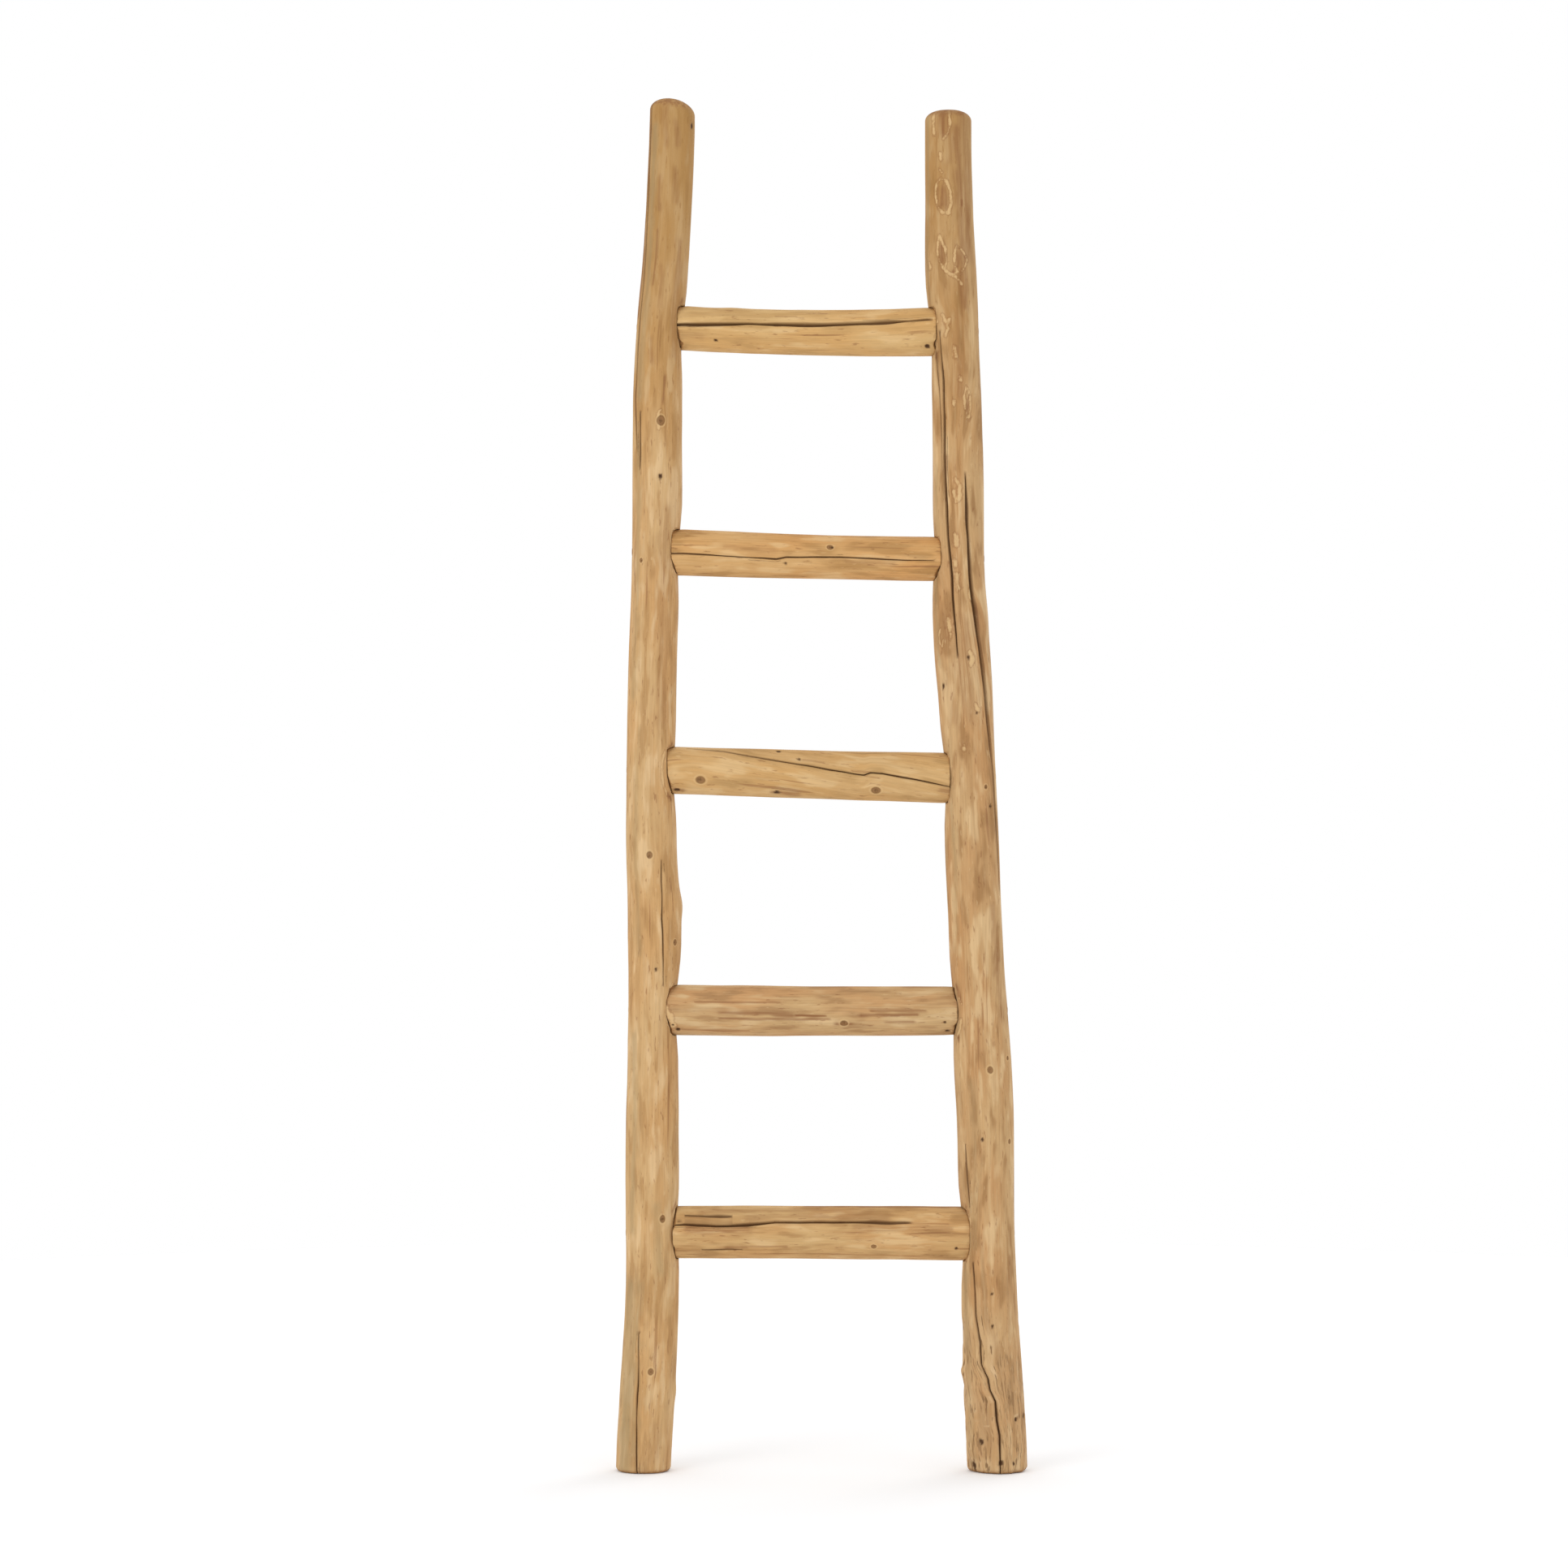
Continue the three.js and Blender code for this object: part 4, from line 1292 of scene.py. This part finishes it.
def wood_material(name, base, dark, pale, warm, mottle, top=0.0):
    """Peeled, unvarnished wood. mottle is how strongly its streaks show, and top how amber its top is."""
    base, dark, pale, warm = [paint(*colour) for colour in (base, dark, pale, warm)]
    shader = Shader(name)
    between, mix, noise, times = shader.between, shader.mix, shader.noise, shader.times
    straight = shader.attribute("grain")
    crack, knot, pit = shader.parts(shader.attribute("marks"))
    scar, worn, stain_and_shade = shader.parts(shader.attribute("aging_and_shade"))
    end, grey, _ = shader.parts(shader.attribute("end"))

    grain = shader.wander(straight, (38, 38, 9), 0.006)
    patches = noise(grain, (26, 26, 7), 2.0)
    blotches = noise(grain, (70, 70, 16), 2.0, 0.55)
    bands = noise(grain, (95, 95, 4.5), 3.0, 0.55)
    streaks = noise(grain, (230, 230, 9), 3.0, 0.6)
    fibres = noise(straight, (700, 700, 22), 2.0, 0.6)
    hairs = noise(grain, (240, 240, 5), 1.0)
    flecks = noise(straight, (330, 330, 62), 2.0, 0.6)

    def tinted(colour, tints):
        """The colour with tints over it, each where its noise goes from low to high."""
        for field, low, high, strength, tint in tints:
            colour = mix(between(field, low, high, 0, strength), colour, tint)
        return colour

    colour = tinted(base, [
        (patches, 0.36, 0.64, 1.0, warm),
        (blotches, 0.51, 0.66, mottle, dark),
        (blotches, 0.47, 0.33, mottle, pale),
        (bands, 0.54, 0.74, 0.6 * mottle, dark),
        (bands, 0.45, 0.28, 0.55 * mottle, pale),
        (streaks, 0.56, 0.76, 0.4 * mottle, dark),
        (streaks, 0.42, 0.25, 0.4 * mottle, pale),
    ])
    colour = mix(1.0, colour, between(fibres, 0.3, 0.7, 0.93, 1.05), "MULTIPLY")
    hairline = times(between(hairs, 0.66, 0.71), between(patches, 0.45, 0.6))
    colour = mix(times(hairline, 0.55), colour, STAIN_AND_SHADE_BROWN)
    colour = tinted(colour, [(flecks, 0.62, 0.72, 0.5, STAIN_AND_SHADE_BROWN), (flecks, 0.36, 0.26, 0.4, pale)])

    if top:
        along = shader.parts(shader.object_place())[2]
        risen = shader.math("ADD", along, between(patches, 0.3, 0.7, -0.1, 0.1))
        colour = mix(between(risen, 1.16, 1.68, 0, top), colour, TOP_AMBER)

    olive = times(grey, between(bands, 0.3, 0.6, 0.5, 1.0))
    colour = mix(olive, colour, GREY_OLIVE)
    # Real stains, together with painted shade and shadow laid in the same field: beside the rungs' ends,
    # down the left pole's outer side and under a check on rung 5.
    ragged_stain_and_shade = times(stain_and_shade, between(streaks, 0.3, 0.62, 0.35, 1.0))
    colour = mix(ragged_stain_and_shade, colour, STAIN_AND_SHADE_BROWN)
    furrows = between(noise(grain, (230, 230, 26), 3.0, 0.6), 0.36, 0.66)
    weathered = mix(furrows, WORN_PALE, WORN_MIDDLE)
    dashes = between(noise(grain, (440, 440, 46), 2.0, 0.6), 0.55, 0.64)
    colour = mix(times(worn, 0.9), colour, weathered)
    colour = mix(times(dashes, between(worn, 0.1, 0.5, 0, 0.8)), colour, WORN_DARK)

    crumbs = noise(straight, (420, 420, 300), 3.0, 0.6)
    breaks = noise(straight, (120, 120, 80), 1.0)
    frayed = shader.math("ADD", scar, between(crumbs, 0.25, 0.75, -0.12, 0.09))
    frayed = shader.math("ADD", frayed, between(breaks, 0.3, 0.7, -0.2, 0.08))
    # Painted shade in the groove beside each scar, laid in the stain brown.
    crease_shade = times(between(frayed, 0.42, 0.55), between(frayed, 0.74, 0.62))
    colour = mix(times(crease_shade, 0.3), colour, STAIN_AND_SHADE_BROWN)
    colour = mix(between(frayed, 0.62, 0.9, 0, 0.75), colour, SCAR_PALE)

    ragged_knot = shader.math("ADD", knot, between(blotches, 0.3, 0.7, -0.07, 0.07))
    knot_shape = times(between(knot, 0.02, 0.3), ragged_knot)
    halo = times(between(knot_shape, 0.06, 0.2), between(knot_shape, 0.42, 0.34))
    colour = mix(times(halo, 0.4), colour, SCAR_PALE)
    edge = times(between(knot_shape, 0.4, 0.47), between(knot_shape, 0.66, 0.52))
    colour = mix(between(knot_shape, 0.4, 0.62, 0, 0.85), colour, KNOT_FILL)
    colour = mix(times(edge, 0.5), colour, KNOT_EDGE)
    dark_heart = shader.math("ADD", knot, between(crumbs, 0.3, 0.7, -0.18, 0.18))
    colour = mix(between(dark_heart, 0.6, 0.95, 0, 0.75), colour, KNOT_EDGE)
    colour = mix(pit, colour, PIT_BROWN)

    rays = noise(straight, (240, 240, 1), 3.0, 0.6)
    end_colour = mix(between(rays, 0.4, 0.62), END_BROWN, dark)
    colour = mix(times(end, 0.75), colour, end_colour)
    # Painted shade down each check, darkest in its middle column, over the brown of its walls.
    colour = mix(times(crack, 0.93), colour, CRACK_BROWN_AND_SHADE)

    coarse = shader.bump(blotches, 0.6 * MM, 0.5)
    middling = shader.bump(streaks, 0.4 * MM, 0.5, coarse)
    eaten = shader.math("SUBTRACT", 1.0, times(dashes, worn))
    deep = shader.bump(eaten, 1.2 * MM, 0.6, middling)
    return shader.finish(
        Base_Color=colour,
        Roughness=between(streaks, 0.2, 0.8, 0.66, 0.88),
        Specular_IOR_Level=0.25,
        Normal=shader.bump(fibres, 0.15 * MM, 0.5, deep),
    )


def plug_material():
    shader = Shader("plug_wood")
    rings = shader.noise(shader.attribute("grain"), (200, 900, 120), 3.0, 0.6)
    return shader.finish(
        Base_Color=shader.mix(shader.between(rings, 0.38, 0.64), PLUG_PALE, PLUG_DARK),
        Roughness=shader.between(rings, 0.2, 0.8, 0.65, 0.85),
        Normal=shader.bump(rings, 0.2 * MM, 0.5),
    )


def steel_material():
    shader = Shader("zinc_steel")
    smears = shader.noise(shader.object_place(), (900, 900, 900), 3.0, 0.6)
    return shader.finish(
        Base_Color=shader.mix(shader.between(smears, 0.35, 0.65), ZINC_PALE, ZINC_DARK),
        Metallic=1.0,
        Roughness=shader.between(smears, 0.2, 0.8, 0.28, 0.5),
    )


# The base, dark, pale and warm colour of each timber's wood, how mottled it is, and how amber its top.
WOODS = {
    "pole_left": ((206, 168, 117), (178, 135, 84), (223, 189, 142), (202, 157, 103), 0.72, 0.62),
    "pole_right": ((201, 163, 114), (164, 122, 76), (220, 186, 138), (192, 146, 96), 0.8, 0.55),
    "rung_1": ((214, 176, 119), (188, 147, 92), (228, 192, 138), (210, 165, 105), 0.6),
    "rung_2": ((211, 167, 110), (178, 134, 80), (224, 185, 131), (208, 156, 96), 0.75),
    "rung_3": ((208, 169, 115), (182, 143, 90), (222, 187, 135), (205, 161, 103), 0.7),
    "rung_4": ((200, 164, 115), (170, 130, 86), (216, 184, 137), (199, 153, 103), 0.8),
    "rung_5": ((206, 168, 114), (174, 132, 82), (222, 186, 134), (202, 156, 101), 0.75),
}


# ---------------------------------------------------------------- the ladder


def main():
    add_camera()
    add_studio()
    add_floor()
    woods = {name: wood_material(name + "_wood", *looks) for name, looks in WOODS.items()}
    plug_wood = plug_material()
    steel = steel_material()
    poles = {}
    skins = {}
    joints = {}
    for side, pole, seed in (("left", LEFT_POLE, 3), ("right", RIGHT_POLE, 8)):
        poles[side], skins[side], joints[side] = make_pole(side, pole, seed)
    seats = {side: [] for side in SIDES}
    for number in RUNG_NUMBERS:
        own_joints = {side: joints[side][number - 1] for side in SIDES}
        rung, cutters = make_rung(number, own_joints, 20 + number)
        finish_piece(rung, f"rung_{number}", woods[f"rung_{number}"])
        for side in SIDES:
            seats[side].append(cutters[side])
            plug = make_plug(side, number, own_joints[side], skins[side])
            finish_piece(plug, f"plug_{side}_{number}", plug_wood)
            screw = make_screw(side, number, own_joints[side])
            finish_piece(screw, f"screw_{side}_{number}", steel)
    for side, slot in (("left", "pole_wood"), ("right", "pole_wood_dark")):
        cut(poles[side], seats[side])
        finish_piece(poles[side], f"pole_{side}", woods[f"pole_{side}"])


main()
